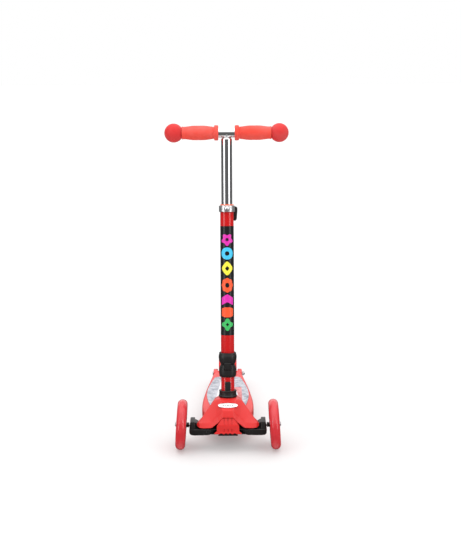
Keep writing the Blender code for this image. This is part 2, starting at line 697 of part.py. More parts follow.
def cover_badge():
    shape = bmesh.new()
    bmesh.ops.create_cone(
        shape, cap_ends=True, segments=32, radius1=1, radius2=0.9, depth=1
    )
    bmesh.ops.scale(shape, verts=shape.verts[:], vec=(22 * MM, 8 * MM, 1.5 * MM))
    bmesh.ops.translate(shape, verts=shape.verts[:], vec=(0, 0, 0.75 * MM + FIT))
    add_object("cover_badge", finish_mesh("cover_badge", shape), badge_frame(), "badge enamel")


def nose_block():
    """The ribbed nose under the cover's arch, with a flared lip."""
    back = CORE_FRONT_Y - FIT
    front = NOSE_FRONT_Y
    nose = hull("nose_block", mirrored([
        (NOSE_HALF_W, front, NOSE_LIP_Z + 5 * MM), (NOSE_HALF_W, front, 70 * MM),
        (NOSE_HALF_W - 2 * MM, front + 9 * MM, NOSE_TOP_Z), (NOSE_HALF_W - 2 * MM, back, NOSE_TOP_Z),
        (NOSE_HALF_W, back, NOSE_LIP_Z + 5 * MM),
    ]), FRONT, "red plastic")
    lip = hull("nose_lip", mirrored([
        (NOSE_HALF_W, front, NOSE_LIP_Z + 7 * MM), (NOSE_LIP_HALF_W, front - 1 * MM, NOSE_LIP_Z + 1 * MM),
        (NOSE_LIP_HALF_W - 3 * MM, front - 1 * MM, NOSE_LIP_Z - 2 * MM),
        (NOSE_HALF_W, back, NOSE_LIP_Z + 7 * MM), (NOSE_HALF_W, back, NOSE_LIP_Z - 2 * MM),
    ]), FRONT)
    join(nose, lip)
    for column in (-1, 0, 1):
        groove = block(
            f"nose_groove_{column}",
            (column * NOSE_GROOVE_PITCH - NOSE_GROOVE_HALF_W, front - 5 * MM, NOSE_LIP_Z + 3 * MM),
            (column * NOSE_GROOVE_PITCH + NOSE_GROOVE_HALF_W, front + 1.2 * MM, 69 * MM), FRONT,
        )
        cut(nose, groove)
    middle, leg = cover_points()
    clear = 1.03
    cut(nose, hull("cover_shape", swollen(middle, clear), FRONT))
    for side in (-1, 1):
        sided = [(side * x, y, z) for x, y, z in leg]
        cut(nose, hull(f"leg_shape_{side_name(side)}", swollen(sided, clear), FRONT))
        frame = king_frame(side)
        cut(nose, block(
            f"ear_room_{side_name(side)}", (-20 * MM, -15 * MM, -10 * MM), (20 * MM, 15 * MM, 20 * MM), frame,
        ))


def swollen(points, factor):
    """Moves points away from their middle by a factor."""
    middle = sum((Vector(p) for p in points), Vector()) / len(points)
    return [middle + (Vector(p) - middle) * factor for p in points]


def steering_arm(side):
    """One arm from its kingpin out to its wheel, with the bolt, sleeve, pin and wheel."""
    name = side_name(side)
    king = king_frame(side)
    arm = rod(f"{name}_steering_arm", BOSS_R, -BOSS_HALF, BOSS_HALF, king, "black plastic", 24)
    reach = side * (ARM_FULL_X + 3 * MM - KINGPIN_X)
    neck = block(
        f"neck_{name}", (min(0, reach), -12 * MM, -BOSS_HALF), (max(0, reach), 9 * MM, BOSS_HALF), king
    )
    beam = block(
        f"beam_{name}", (min(side * ARM_FULL_X, side * ARM_OUTER_X), ARM_FRONT_Y, ARM_BOTTOM_Z),
        (max(side * ARM_FULL_X, side * ARM_OUTER_X), ARM_BACK_Y, ARM_LOW_Z), FRONT,
    )
    soften(beam, 3 * MM, 2)
    # the tall block stands a little inside the beam's faces, so that no two faces coincide
    outer, front, back = ARM_OUTER_X - 0.6 * MM, ARM_FRONT_Y + 0.6 * MM, ARM_BACK_Y - 0.6 * MM
    foot = ARM_LOW_Z - 5 * MM
    tall = hull(f"tall_{name}", [
        (side * x, y, z) for x, y, z in (
            (ARM_STEP_X, front, foot), (ARM_STEP_X, back, foot),
            (outer, front, foot), (outer, back, foot),
            (ARM_STEP_X + 5 * MM, front + 3 * MM, ARM_TOP_Z - 3 * MM),
            (ARM_STEP_X + 5 * MM, back - 3 * MM, ARM_TOP_Z - 3 * MM),
            (outer, front + 3 * MM, ARM_TOP_Z - 1 * MM), (outer, back - 3 * MM, ARM_TOP_Z - 1 * MM),
            (outer - 4 * MM, front + 9 * MM, ARM_TOP_Z), (outer - 4 * MM, back - 9 * MM, ARM_TOP_Z),
        )
    ], FRONT)
    soften(tall, 2 * MM, 2, 30)
    lug_points = [
        (TIE_R * cos(i * pi / 8), y + TIE_R * sin(i * pi / 8), z)
        for i in range(16) for y in (0, TIE_OFFSET) for z in (-BOSS_HALF, -FIT)
    ]
    join(arm, neck, beam, tall, hull(f"lug_{name}", lug_points, king))
    cut(arm, rod(f"king_bore_{name}", KINGPIN_R + RUN, -20 * MM, 20 * MM, king))
    tie_at = king @ Matrix.Translation((0, TIE_OFFSET, 0))
    cut(arm, rod(f"tie_bore_{name}", TIE_SCREW_R + FIT, -20 * MM, 20 * MM, tie_at, steps=12))
    axle = wheel_frame(side)
    depth = FRONT_TRACK / 2 - ARM_STEP_X - 2 * MM
    cut(arm, rod(f"axle_bore_{name}", AXLE_R + FIT, -depth - FIT, 0, axle))
    half = FRONT_WHEEL_W / 2
    bolt_profile = [
        (0, half - FIT + AXLE_HEAD_T), (AXLE_HEAD_R * 0.7, half - FIT + AXLE_HEAD_T),
        (AXLE_HEAD_R, half + AXLE_HEAD_T * 0.5), (AXLE_HEAD_R, half - FIT),
        (AXLE_R, half - FIT), (AXLE_R, -depth), (0, -depth),
    ]
    bolt = turned(f"{name}_axle_bolt", bolt_profile, axle, "steel", 16)
    sleeve_end = -(FRONT_TRACK / 2 - ARM_OUTER_X) + 0.9 * MM
    sleeve = ring(
        f"{name}_axle_sleeve", SLEEVE_R, AXLE_R + FIT, sleeve_end, -half + BEARING_INSET - FIT, axle,
        "black plastic", 16,
    )
    tie_profile = [
        (0, TIE_T + 2.8 * MM), (2 * TIE_SCREW_R, TIE_T + 2.8 * MM),
        (2 * TIE_SCREW_R, TIE_T + FIT + FIT), (TIE_SCREW_R, TIE_T + FIT + FIT),
        (TIE_SCREW_R, -BOSS_HALF), (0, -BOSS_HALF),
    ]
    tie_screw = turned(f"{name}_tie_screw", tie_profile, tie_at, "steel", 12)
    carrier = pivot(f"{name}_steer_pivot", king.translation, [arm, bolt, sleeve, tie_screw])
    wheel_pieces = wheel(
        f"front_{name}", FRONT_WHEEL_R, FRONT_WHEEL_W, FRONT_CORE_R, axle
    )
    pivot(f"front_{name}_wheel_pivot", axle.translation, wheel_pieces, carrier)
    return carrier


def kingpin(side):
    """A headed pin through a pair of ears, with the spring that brings the arm back."""
    king = king_frame(side)
    low = -BOSS_HALF - RUN - EAR_T - 1 * MM
    head = BOSS_HALF + RUN + EAR_T + 8 * MM
    profile = [
        (0, head + KINGPIN_HEAD_STEP), (KINGPIN_R + KINGPIN_HEAD_STEP, head + KINGPIN_HEAD_STEP),
        (KINGPIN_R + KINGPIN_HEAD_STEP, head),
        (KINGPIN_R, head), (KINGPIN_R, low), (0, low),
    ]
    turned(f"{side_name(side)}_kingpin", profile, king, "steel", 16)
    base = BOSS_HALF + RUN + EAR_T + 1.2 * MM
    coil = [
        (CENTRING_SPRING_R * cos(turn), CENTRING_SPRING_R * sin(turn), base + 5.4 * MM * i / 24)
        for i, turn in ((i, i * pi / 4) for i in range(25))
    ]
    wire(f"{side_name(side)}_centring_spring", coil, SPRING_WIRE_R, king, "steel")


def tie_rod(left_carrier):
    """A flat bar that makes both arms turn together."""
    frame = king_frame(-1) @ Matrix.Translation((0, TIE_OFFSET, 0))
    span = 2 * KINGPIN_X
    bar = block("tie_rod", (0, -4 * MM, FIT), (span, 4 * MM, TIE_T), frame, "steel")
    for x in (0, span):
        at = frame @ Matrix.Translation((x, 0, 0))
        join(bar, rod(f"tie_eye_{x:.3f}", TIE_R, FIT, TIE_T, at))
        cut(bar, rod(f"tie_hole_{x:.3f}", TIE_SCREW_R + FIT + RUN, -5 * MM, 10 * MM, at, steps=12))
    pivot("tie_rod_pivot", frame.translation, [bar], left_carrier)


# ---------------------------------------------------------------- column
def stem_collar():
    """The ring where the column leaves the truck, with the key that guides the stub."""
    half = COLLAR_HALF_H
    inner = TUBE_R + FIT
    profile = [
        (inner + 1.5 * MM, half), (COLLAR_R - 2 * MM, half), (COLLAR_R, half - 2 * MM),
        (COLLAR_R, -half + 5 * MM), (COLLAR_R - 2.5 * MM, -half + FIT), (inner, -half + FIT),
        (inner, half - 2 * MM),
    ]
    collar = turned("stem_collar", profile, COLUMN, "black plastic", 32)
    key = block(
        "stem_key", (-6.2 * MM, -inner - 3.6 * MM, half - 6 * MM), (6.2 * MM, -inner - 0.2 * MM, 30.5 * MM),
        COLUMN,
    )
    soften(key, 1.5 * MM, 2)
    join(collar, key)


def stem_stub():
    top = STUB_SHOWN + SOCKET_DEPTH
    ring("stem_stub", TUBE_R, TUBE_R - TUBE_WALL, -STUB_BURIED, top, COLUMN, "red paint", 32)


def fold_base():
    """The lower half of the fold joint, with two rear lugs for the hinge pin."""
    low, waist = STUB_SHOWN, WAIST_S
    profile = [
        (0, waist), (FOLD_WAIST_R, waist), (FOLD_LOW_R, waist - 8 * MM), (FOLD_LOW_R, low + 8 * MM),
        (FOLD_LOW_R - 2 * MM, low + 2 * MM), (TUBE_R + 0.8 * MM, low), (0, low),
    ]
    base = turned("fold_base", profile, COLUMN, "black plastic", 32)
    pin_at = COLUMN @ Matrix.Translation((0, FOLD_PIN_Y, waist + FOLD_GAP / 2)) @ ALONG_X
    room = FOLD_LUG_HALF + RUN
    cut(base, rod("barrel_room", FOLD_BARREL_R + RUN, -room, room, pin_at, steps=24))
    for side in (-1, 1):
        x0, x1 = sorted((side * room, side * (room + 7 * MM)))
        lug = block(f"base_lug_{side}", (x0, 8 * MM, waist - 14 * MM), (x1, FOLD_PIN_Y, waist - 0.5 * MM), COLUMN)
        barrel = rod(f"base_barrel_{side}", FOLD_BARREL_R, x0, x1, pin_at)
        join(base, lug, barrel)
    cut(base, rod("base_pin_hole", FOLD_PIN_R + FIT, -30 * MM, 30 * MM, pin_at, steps=12))
    cut(base, rod("stub_socket", TUBE_R + FIT, low - 5 * MM, low + SOCKET_DEPTH + FIT, COLUMN, steps=32))
    cut(base, latch_room("base"))
    rod("fold_pin", FOLD_PIN_R, -room - 7.5 * MM, room + 7.5 * MM, pin_at, "steel", 12)


def latch_room(name):
    """The recess that the latch button slides in, open to the front."""
    return block(
        f"latch_room_{name}",
        (-9 * MM, -FOLD_HIGH_R - 8 * MM, WAIST_S - 12 * MM),
        (9 * MM, -FOLD_WAIST_R + 4 * MM, WAIST_S + 7 * MM), COLUMN,
    )


def fold_head():
    """The upper half of the fold joint, with the middle lug of the hinge."""
    low, top = WAIST_S + FOLD_GAP, FOLD_TOP_S
    profile = [
        (0, top), (FOLD_HIGH_R - 2 * MM, top), (FOLD_HIGH_R - 1 * MM, top - 1 * MM),
        (FOLD_HIGH_R - 1 * MM, top - 4 * MM), (FOLD_HIGH_R, top - 6 * MM),
        (FOLD_HIGH_R, low + 10 * MM), (FOLD_WAIST_R, low), (0, low),
    ]
    head = turned("fold_head", profile, COLUMN, "black plastic", 32)
    pin_at = COLUMN @ Matrix.Translation((0, FOLD_PIN_Y, low - FOLD_GAP / 2)) @ ALONG_X
    half = FOLD_LUG_HALF
    for side in (-1, 1):
        x0, x1 = sorted((side * (half + RUN), side * (half + 12 * MM)))
        cut(head, rod(f"lug_room_{side}", FOLD_BARREL_R + RUN, x0, x1, pin_at, steps=24))
    lug = block("head_lug", (-half, 8 * MM, low), (half, FOLD_PIN_Y, low + 12 * MM), COLUMN)
    barrel = rod("head_barrel", FOLD_BARREL_R, -half, half, pin_at)
    join(head, lug, barrel)
    cut(head, rod("head_pin_hole", FOLD_PIN_R + RUN, -30 * MM, 30 * MM, pin_at, steps=12))
    cut(head, rod("tube_socket", TUBE_R + FIT, top - 21 * MM, top + 5 * MM, COLUMN, steps=32))
    cut(head, latch_room("head"))
    return head, pin_at.translation


def fold_latch():
    """The spring button that bridges the waist in front and frees the fold."""
    depth_in = -FOLD_WAIST_R + 4 * MM - BUTTON_TRAVEL - 1 * MM
    latch = block(
        "fold_latch", (-8.5 * MM, -FOLD_HIGH_R - 0.5 * MM, WAIST_S - 11.5 * MM),
        (8.5 * MM, depth_in, WAIST_S + 6.5 * MM), COLUMN, "black plastic",
    )
    soften(latch, 1.5 * MM, 2)
    return latch


def outer_tube():
    low = FOLD_TOP_S - 20.5 * MM
    tube = ring("outer_tube", TUBE_R, TUBE_R - TUBE_WALL, low, CLAMP_TOP_S, COLUMN, "red paint", 32)
    cut(tube, button_way("tube"))
    return tube


def button_way(name):
    """The hole in front that the height button's stem is pushed through."""
    at = COLUMN @ Matrix.Translation((0, 0, CLAMP_MID_S)) @ ALONG_Y
    return rod(f"button_way_{name}", BUTTON_STEM_R + RUN, -CLAMP_R, 0, at)


def tube_bush():
    """The plastic sleeve that the inner tube slides in, with a rim above the clamp."""
    inner = INNER_R + RUN
    outer = TUBE_R - TUBE_WALL - FIT
    profile = [
        (inner, CLAMP_TOP_S + 2.8 * MM), (TUBE_R - 1 * MM, CLAMP_TOP_S + 2.8 * MM),
        (TUBE_R, CLAMP_TOP_S + 1.8 * MM), (TUBE_R, CLAMP_TOP_S + FIT), (outer, CLAMP_TOP_S + FIT),
        (outer, CLAMP_TOP_S - BUSH_LENGTH), (inner, CLAMP_TOP_S - BUSH_LENGTH),
    ]
    bush = turned("tube_bush", profile, COLUMN, "orange plastic", 32)
    cut(bush, button_way("bush"))
    return bush


def clamp_ring():
    """A split ring round the top of the outer tube, with a boss for the height button."""
    low, high = CLAMP_TOP_S - CLAMP_H, CLAMP_TOP_S
    clamp = ring("clamp_ring", CLAMP_R, TUBE_R + FIT, low, high, COLUMN, "aluminium", 32)
    outside = CLAMP_SLIT + CLAMP_EAR_T
    ears = block(
        "clamp_ears", (-outside, TUBE_R + 1.5 * MM, low + 0.8 * MM),
        (outside, SKEWER_Y + 5.5 * MM, high - 0.8 * MM), COLUMN,
    )
    middle = COLUMN @ Matrix.Translation((0, 0, CLAMP_MID_S))
    boss = rod("button_boss", BUTTON_R + 1.4 * MM, -CLAMP_R - 3 * MM, -TUBE_R - 1.5 * MM, middle @ ALONG_Y)
    join(clamp, ears, boss)
    seat = -CLAMP_R - 0.6 * MM
    slit = block(
        "clamp_slit", (-CLAMP_SLIT, TUBE_R - 5 * MM, low - 5 * MM),
        (CLAMP_SLIT, SKEWER_Y + 10 * MM, high + 5 * MM), COLUMN,
    )
    cap_room = rod("cap_room", BUTTON_R + 0.4 * MM, -CLAMP_R - 10 * MM, seat, middle @ ALONG_Y)
    stem_room = rod("stem_room", BUTTON_STEM_R + RUN, -CLAMP_R - 10 * MM, -TUBE_R + 5 * MM, middle @ ALONG_Y)
    skewer_at = middle @ Matrix.Translation((0, SKEWER_Y, 0)) @ ALONG_X
    skewer_room = rod("skewer_room", SKEWER_R + FIT, -40 * MM, 40 * MM, skewer_at, steps=12)
    cut(clamp, slit, cap_room, stem_room, skewer_room)
    return clamp


def clamp_skewer():
    """The pull rod of the clamp: a round nut on the left, an eye for the lever's pin."""
    middle = COLUMN @ Matrix.Translation((0, SKEWER_Y, CLAMP_MID_S))
    face = -(CLAMP_SLIT + CLAMP_EAR_T + FIT)
    profile = [
        (0, LEVER_X + 2.6 * MM), (SKEWER_R, LEVER_X + 2.6 * MM), (SKEWER_R, face),
        (2 * SKEWER_R, face), (2 * SKEWER_R, face - 4 * MM), (0, face - 4 * MM),
    ]
    skewer = turned("clamp_skewer", profile, middle @ ALONG_X, "steel", 16)
    pin_at = middle @ Matrix.Translation((LEVER_X, 0, 0)) @ ALONG_Y
    cut(skewer, rod("eye_hole", LEVER_PIN_R + FIT, -10 * MM, 10 * MM, pin_at, steps=12))
    return skewer


def clamp_lever():
    """The quick-release lever: two cheeks with a moulded-in pin, and a blade that hangs down."""
    pin_frame = COLUMN @ Matrix.Translation((LEVER_X, SKEWER_Y, CLAMP_MID_S))
    half = LEVER_HALF_T
    lever = rod("clamp_lever", LEVER_W / 2 + 0.8 * MM, -half, half, pin_frame @ ALONG_Y, "black plastic", 20)
    w = LEVER_W / 2
    blade = hull("blade", [
        (x, y, z) for x, z in (
            (-w, 0), (w, 0), (w - 0.5 * MM, -LEVER_LENGTH + 12 * MM), (w - 3 * MM, -LEVER_LENGTH + 4 * MM),
            (-w - 0.5 * MM, -LEVER_LENGTH + 4 * MM), (-w, -LEVER_LENGTH + 14 * MM),
        ) for y in (-half, half)
    ], pin_frame)
    soften(blade, 1 * MM, 1)
    join(lever, blade)
    cut(lever, rod("lever_gap", LEVER_W / 2 + 2 * MM, -SKEWER_R - 0.6 * MM, SKEWER_R + 0.6 * MM,
                   pin_frame @ ALONG_Y, steps=20))
    join(lever, rod("lever_pin", LEVER_PIN_R, -half + 1 * MM, half - 1 * MM, pin_frame @ ALONG_Y, steps=12))
    return lever, pin_frame.translation


def height_button():
    """A domed push button with a stem that reaches through the outer tube's hole."""
    at = COLUMN @ Matrix.Translation((0, 0, CLAMP_MID_S)) @ ALONG_Y
    cap_back = -CLAMP_R - 0.6 * MM - BUTTON_TRAVEL - FIT
    stem_end = -TUBE_R + TUBE_WALL - BUTTON_TRAVEL + 0.9 * MM
    profile = [
        (0, stem_end), (BUTTON_STEM_R, stem_end), (BUTTON_STEM_R, cap_back), (BUTTON_R, cap_back),
        (BUTTON_R, cap_back - 2 * MM), (BUTTON_R * 0.8, cap_back - 3.2 * MM),
        (BUTTON_R * 0.4, cap_back - 3.8 * MM), (0, cap_back - 4 * MM),
    ]
    button = turned("height_button", profile, at, "aluminium", 20)
    return button, at @ Vector((0, 0, cap_back))


def handlebar():
    """The chrome T: an inner tube that slides in the outer one, and the cross bar."""
    low = CLAMP_TOP_S - INNER_BURIED
    bar = rod("handlebar_tube", INNER_R, low, BAR_S, COLUMN, "chrome", 28)
    across = COLUMN @ Matrix.Translation((0, 0, BAR_S)) @ ALONG_X
    bar_end = BAR_WIDTH / 2 - BAR_TO_END
    join(bar, rod("cross_bar", BAR_R, -bar_end, bar_end, across, steps=24))
    cut(bar, rod("inner_bore", INNER_R - INNER_WALL, low - 10 * MM, BAR_S - BAR_R, COLUMN, steps=28))
    cut(bar, rod("cross_bore", BAR_R - BAR_WALL, -BAR_WIDTH, BAR_WIDTH, across, steps=24))
    pieces = [bar]
    for side in (-1, 1):
        frame = COLUMN @ Matrix.Translation((0, 0, BAR_S)) @ Matrix.Rotation(side * pi / 2, 4, "Y")
        pieces += grip(side, frame)
    return pieces


def grip(side, frame):
    """A waisted grip with an inner flange, and the ball that guards the bar's end."""
    bore = BAR_R + FIT
    start, end = GRIP_START_X, GRIP_END_X
    neck = GRIP_R - 3 * MM
    profile = [
        (bore, start), (FLANGE_R - 1.5 * MM, start), (FLANGE_R, start + 1.5 * MM),
        (FLANGE_R, start + FLANGE_W - 1 * MM), (neck, start + FLANGE_W), (neck + 0.6 * MM, start + FLANGE_W + 8 * MM),
        (GRIP_R - 0.2 * MM, (start + end) / 2 - 8 * MM), (GRIP_R, (start + end) / 2 + 8 * MM),
        (neck + 1 * MM, end - 12 * MM), (neck, end - 4 * MM), (neck + 0.8 * MM, end), (bore, end),
    ]
    name = side_name(side)
    sleeve = turned(f"{name}_grip", profile, frame, "grip rubber", 20)
    centre = BAR_WIDTH / 2 - BALL_R
    first = end + FIT
    bar_end = BAR_WIDTH / 2 - BAR_TO_END
    rounded = []
    lowest = -acos((neck + 1 * MM) / BALL_R)
    for step in range(9):
        turn = lowest + (pi / 2 - lowest) * step / 8
        rounded.append((BALL_R * cos(turn) if step < 8 else 0, centre + BALL_R * sin(turn)))
    ball_profile = [
        (0, bar_end + 1 * MM), (bore, bar_end + 1 * MM), (bore, first), (neck + 1 * MM, first), *rounded
    ]
    ball = turned(f"{name}_bar_end", ball_profile, frame, "ball rubber", 20)
    return [sleeve, ball]


def column_pieces():
    """Everything above the hinge pin, hung on the pivots that carry it."""
    stem_collar()
    stem_stub()
    fold_base()
    head, pin_place = fold_head()
    carried = [head, outer_tube(), tube_bush(), clamp_ring(), clamp_skewer()]
    mast = pivot("mast_pivot", pin_place, carried)
    latch = fold_latch()
    pivot("latch_pivot", COLUMN @ Vector((0, -FOLD_HIGH_R, WAIST_S)), [latch], mast)
    lever, lever_place = clamp_lever()
    pivot("lever_pivot", lever_place, [lever], mast)
    button, button_place = height_button()
    pivot("button_pivot", button_place, [button], mast)
    pivot("height_pivot", COLUMN @ Vector((0, 0, CLAMP_TOP_S)), handlebar(), mast)


def front_truck():
    truck_housing()
    nose_block()
    front_cover()
    cover_badge()
    deck_screws()
    carriers = {}
    for side in (-1, 1):
        kingpin(side)
        carriers[side] = steering_arm(side)
    tie_rod(carriers[-1])


def deck_and_rear():
    deck_board()
    deck_mat()
    rear_axle()
    rear_wheels()
    rear_fender()


clear_scene()
PARTS = new_collection("kick_scooter")
TOOLS = new_collection("cutters")
MATERIALS = {
    "red plastic": principled("red plastic", (0.87, 0.045, 0.038), 0.35),
    "red paint": principled("red paint", (0.60, 0.008, 0.017), 0.18),
    "orange plastic": principled("orange plastic", (0.85, 0.15, 0.06), 0.45),
    "black plastic": principled("black plastic", (0.027, 0.025, 0.025), 0.5),
    "printed mat": principled("printed mat", (0.42, 0.40, 0.42), 0.55),
    "badge enamel": principled("badge enamel", (0.85, 0.85, 0.85), 0.25),
    "wheel rubber": principled("wheel rubber", (0.62, 0.04, 0.05), 0.3),
    "wheel core": principled("wheel core", (0.70, 0.08, 0.09), 0.35),
    "grip rubber": principled("grip rubber", (0.95, 0.11, 0.075), 0.6),
    "ball rubber": principled("ball rubber", (0.70, 0.042, 0.042), 0.55),
    "steel": principled("steel", (0.55, 0.55, 0.56), 0.35, 1.0),
    "chrome": principled("chrome", (0.80, 0.80, 0.82), 0.06, 1.0),
    "aluminium": principled("aluminium", (0.75, 0.75, 0.76), 0.4, 1.0),
}
deck_and_rear()
front_truck()
column_pieces()
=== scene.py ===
"""Looks of the kick scooter: its fine surfaces, finishes, floor, light and camera.

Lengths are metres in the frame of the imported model: +Z up, the front faces -Y.
"""

import json
from math import radians

import bmesh
import bpy
import numpy as np
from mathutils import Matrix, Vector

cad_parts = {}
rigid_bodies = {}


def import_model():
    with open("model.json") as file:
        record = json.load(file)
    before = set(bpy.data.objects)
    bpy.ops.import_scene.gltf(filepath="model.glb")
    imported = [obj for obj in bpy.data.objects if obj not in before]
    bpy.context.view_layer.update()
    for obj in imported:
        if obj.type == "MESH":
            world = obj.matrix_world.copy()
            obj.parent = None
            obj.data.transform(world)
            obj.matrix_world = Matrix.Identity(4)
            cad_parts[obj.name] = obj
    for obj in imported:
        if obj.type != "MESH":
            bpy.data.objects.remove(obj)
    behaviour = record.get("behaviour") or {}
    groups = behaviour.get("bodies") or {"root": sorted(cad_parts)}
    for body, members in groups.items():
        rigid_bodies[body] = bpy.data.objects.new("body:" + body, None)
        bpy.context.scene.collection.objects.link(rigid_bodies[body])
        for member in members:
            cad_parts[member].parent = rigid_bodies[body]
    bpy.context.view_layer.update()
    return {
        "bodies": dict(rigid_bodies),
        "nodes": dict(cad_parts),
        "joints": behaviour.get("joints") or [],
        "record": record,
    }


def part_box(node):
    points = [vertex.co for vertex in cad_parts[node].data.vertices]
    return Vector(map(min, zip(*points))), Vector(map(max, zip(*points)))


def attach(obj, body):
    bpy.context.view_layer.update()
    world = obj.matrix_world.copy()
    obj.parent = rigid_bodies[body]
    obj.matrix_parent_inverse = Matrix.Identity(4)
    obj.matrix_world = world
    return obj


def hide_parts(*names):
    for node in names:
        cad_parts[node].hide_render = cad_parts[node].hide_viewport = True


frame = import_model()
NODES = frame["nodes"]
MM = 0.001


# ---------------------------------------------------------------- shader wrapper
class Wire:
    """A socket or a number in a material, with the operators that add Math nodes."""

    def __init__(self, maker, source):
        self.maker = maker
        self.source = source

    def _with(self, operation, *others):
        return self.maker.math(operation, self, *others)

    def __add__(self, other):
        return self._with("ADD", other)

    def __sub__(self, other):
        return self._with("SUBTRACT", other)

    def __mul__(self, other):
        return self._with("MULTIPLY", other)

    def __rsub__(self, other):
        return self.maker.math("SUBTRACT", other, self)

    def __gt__(self, other):
        return self._with("GREATER_THAN", other)

    def __lt__(self, other):
        return self._with("LESS_THAN", other)

    __radd__ = __add__
    __rmul__ = __mul__

    def least(self, other):
        return self._with("MINIMUM", other)

    def size(self):
        return self._with("ABSOLUTE")

    def step(self, low, high):
        """0 below low, 1 above high, smooth between."""
        span = self.maker.node(
            "ShaderNodeMapRange", {"interpolation_type": "SMOOTHSTEP"},
            {"Value": self, "From Min": low, "From Max": high},
        )
        return span["Result"]


class Maker:
    """Adds nodes to a material or a world: node() for any type, math() and mix() for some."""

    def __init__(self, owner):
        owner.use_nodes = True
        self.owner = owner
        self.tree = owner.node_tree

    def node(self, kind, settings=None, values=None):
        made = self.tree.nodes.new(kind)
        for name, value in (settings or {}).items():
            setattr(made, name, value)
        for name, value in (values or {}).items():
            self.plug(made.inputs[name], value)
        return {out.name: Wire(self, out) for out in made.outputs if out.enabled}

    def plug(self, socket, value):
        if isinstance(value, Wire):
            self.tree.links.new(value.source, socket)
        elif socket.type == "RGBA" and len(value) == 3:
            socket.default_value = (*value, 1)
        else:
            socket.default_value = value

    def math(self, operation, *values):
        return self.node("ShaderNodeMath", {"operation": operation}, dict(enumerate(values)))["Value"]

    def mix(self, share, first, second):
        """Colour first where share is 0, second where it is 1."""
        made = self.tree.nodes.new("ShaderNodeMix")
        made.data_type = "RGBA"
        self.plug(made.inputs[0], share)
        self.plug(made.inputs[6], first)
        self.plug(made.inputs[7], second)
        return Wire(self, made.outputs[2])

    def place(self):
        """Object coordinates, as a vector."""
        return self.node("ShaderNodeTexCoord")["Object"]

    def parts(self, vector):
        split = self.node("ShaderNodeSeparateXYZ", None, {"Vector": vector})
        return split["X"], split["Y"], split["Z"]

    def moved(self, vector, shift=(0, 0, 0), turn=(0, 0, 0), scale=(1, 1, 1)):
        values = {"Vector": vector, "Location": shift, "Rotation": turn, "Scale": scale}
        return self.node("ShaderNodeMapping", {"vector_type": "POINT"}, values)["Vector"]

    def noise(self, vector, scale, detail=3.0, roughness=0.5):
        values = {"Vector": vector, "Scale": scale, "Detail": detail, "Roughness": roughness}
        return self.node("ShaderNodeTexNoise", None, values)["Fac"]

    def bump(self, height, distance):
        values = {"Height": height, "Distance": distance, "Strength": 1.0}
        return self.node("ShaderNodeBump", None, values)["Normal"]

    def set(self, **values):
        """Principled inputs by name, with underscores for spaces; returns the material."""
        shader = self.tree.nodes["Principled BSDF"]
        for name, value in values.items():
            self.plug(shader.inputs[name.replace("_", " ")], value)
        return self.owner


# ---------------------------------------------------------------- finishes
def moulded_plastic(name, colour, roughness, grain, tone=0.06):
    """Moulded plastic: slow colour drift, fine grain in the gloss and a faint dimpled skin."""
    m = Maker(bpy.data.materials.new(name))
    at = m.place()
    cloud = m.noise(at, 9.0, 2.0)
    fine = m.noise(at, 900.0, 2.0)
    deep = tuple(c * (1 - tone) for c in colour)
    light = tuple(min(1.0, c * (1 + tone)) for c in colour)
    scuffs = m.noise(m.moved(at, scale=(1, 1, 6)), 60.0, 6.0, 0.7).step(0.58, 0.75)
    return m.set(
        Base_Color=m.mix(cloud, deep, light),
        Roughness=fine * (roughness * 0.3) + cloud * 0.05 + scuffs * 0.06 + roughness * 0.8,
        Normal=m.bump(fine, grain),
        Specular_IOR_Level=0.35,
    )


def powder_coat(name, colour):
    """Glossy coat over a tube: faint orange peel under a clear coat, dull specks of dust."""
    m = Maker(bpy.data.materials.new(name))
    at = m.place()
    peel = m.noise(at, 260.0, 2.0)
    dust = m.noise(at, 700.0, 3.0, 0.7).step(0.62, 0.78)
    cloud = m.noise(at, 12.0, 2.0)
    deep = tuple(c * 0.88 for c in colour)
    return m.set(
        Base_Color=m.mix(cloud, deep, colour),
        Roughness=dust * 0.12 + peel * 0.06 + 0.2,
        Normal=m.bump(peel, 0.00004),
        Specular_IOR_Level=0.3,
        Coat_Weight=0.5,
        Coat_Roughness=0.1,
    )


def clear_rubber(name, colour, pale):
    """Cast translucent wheel rubber: denser colour inside, a milky skin, tiny bubbles."""
    m = Maker(bpy.data.materials.new(name))
    at = m.place()
    cloud = m.noise(at, 30.0, 3.0)
    specks = m.noise(at, 420.0, 2.0).step(0.66, 0.74)
    return m.set(
        Base_Color=m.mix(cloud * 0.6 + specks * 0.4, colour, pale),
        Roughness=cloud * 0.1 + 0.15,
        Subsurface_Weight=0.3,
        Subsurface_Radius=(0.012, 0.003, 0.003),
        Subsurface_Scale=1.0,
        Normal=m.bump(cloud, 0.0002),
    )


def soft_rubber(name, colour, roughness=0.55):
    """Matt moulded rubber with a slight bloom and a fine skin."""
    m = Maker(bpy.data.materials.new(name))
    at = m.place()
    cloud = m.noise(at, 25.0, 3.0)
    fine = m.noise(at, 1400.0, 2.0)
    pale = tuple(min(1.0, c * 0.9 + 0.05) for c in colour)
    return m.set(
        Base_Color=m.mix(cloud.step(0.35, 0.8), colour, pale),
        Roughness=fine * 0.12 + roughness,
        Normal=m.bump(fine, 0.00004),
        Specular_IOR_Level=0.25,
        Sheen_Weight=0.03,
        Sheen_Roughness=0.5,
    )


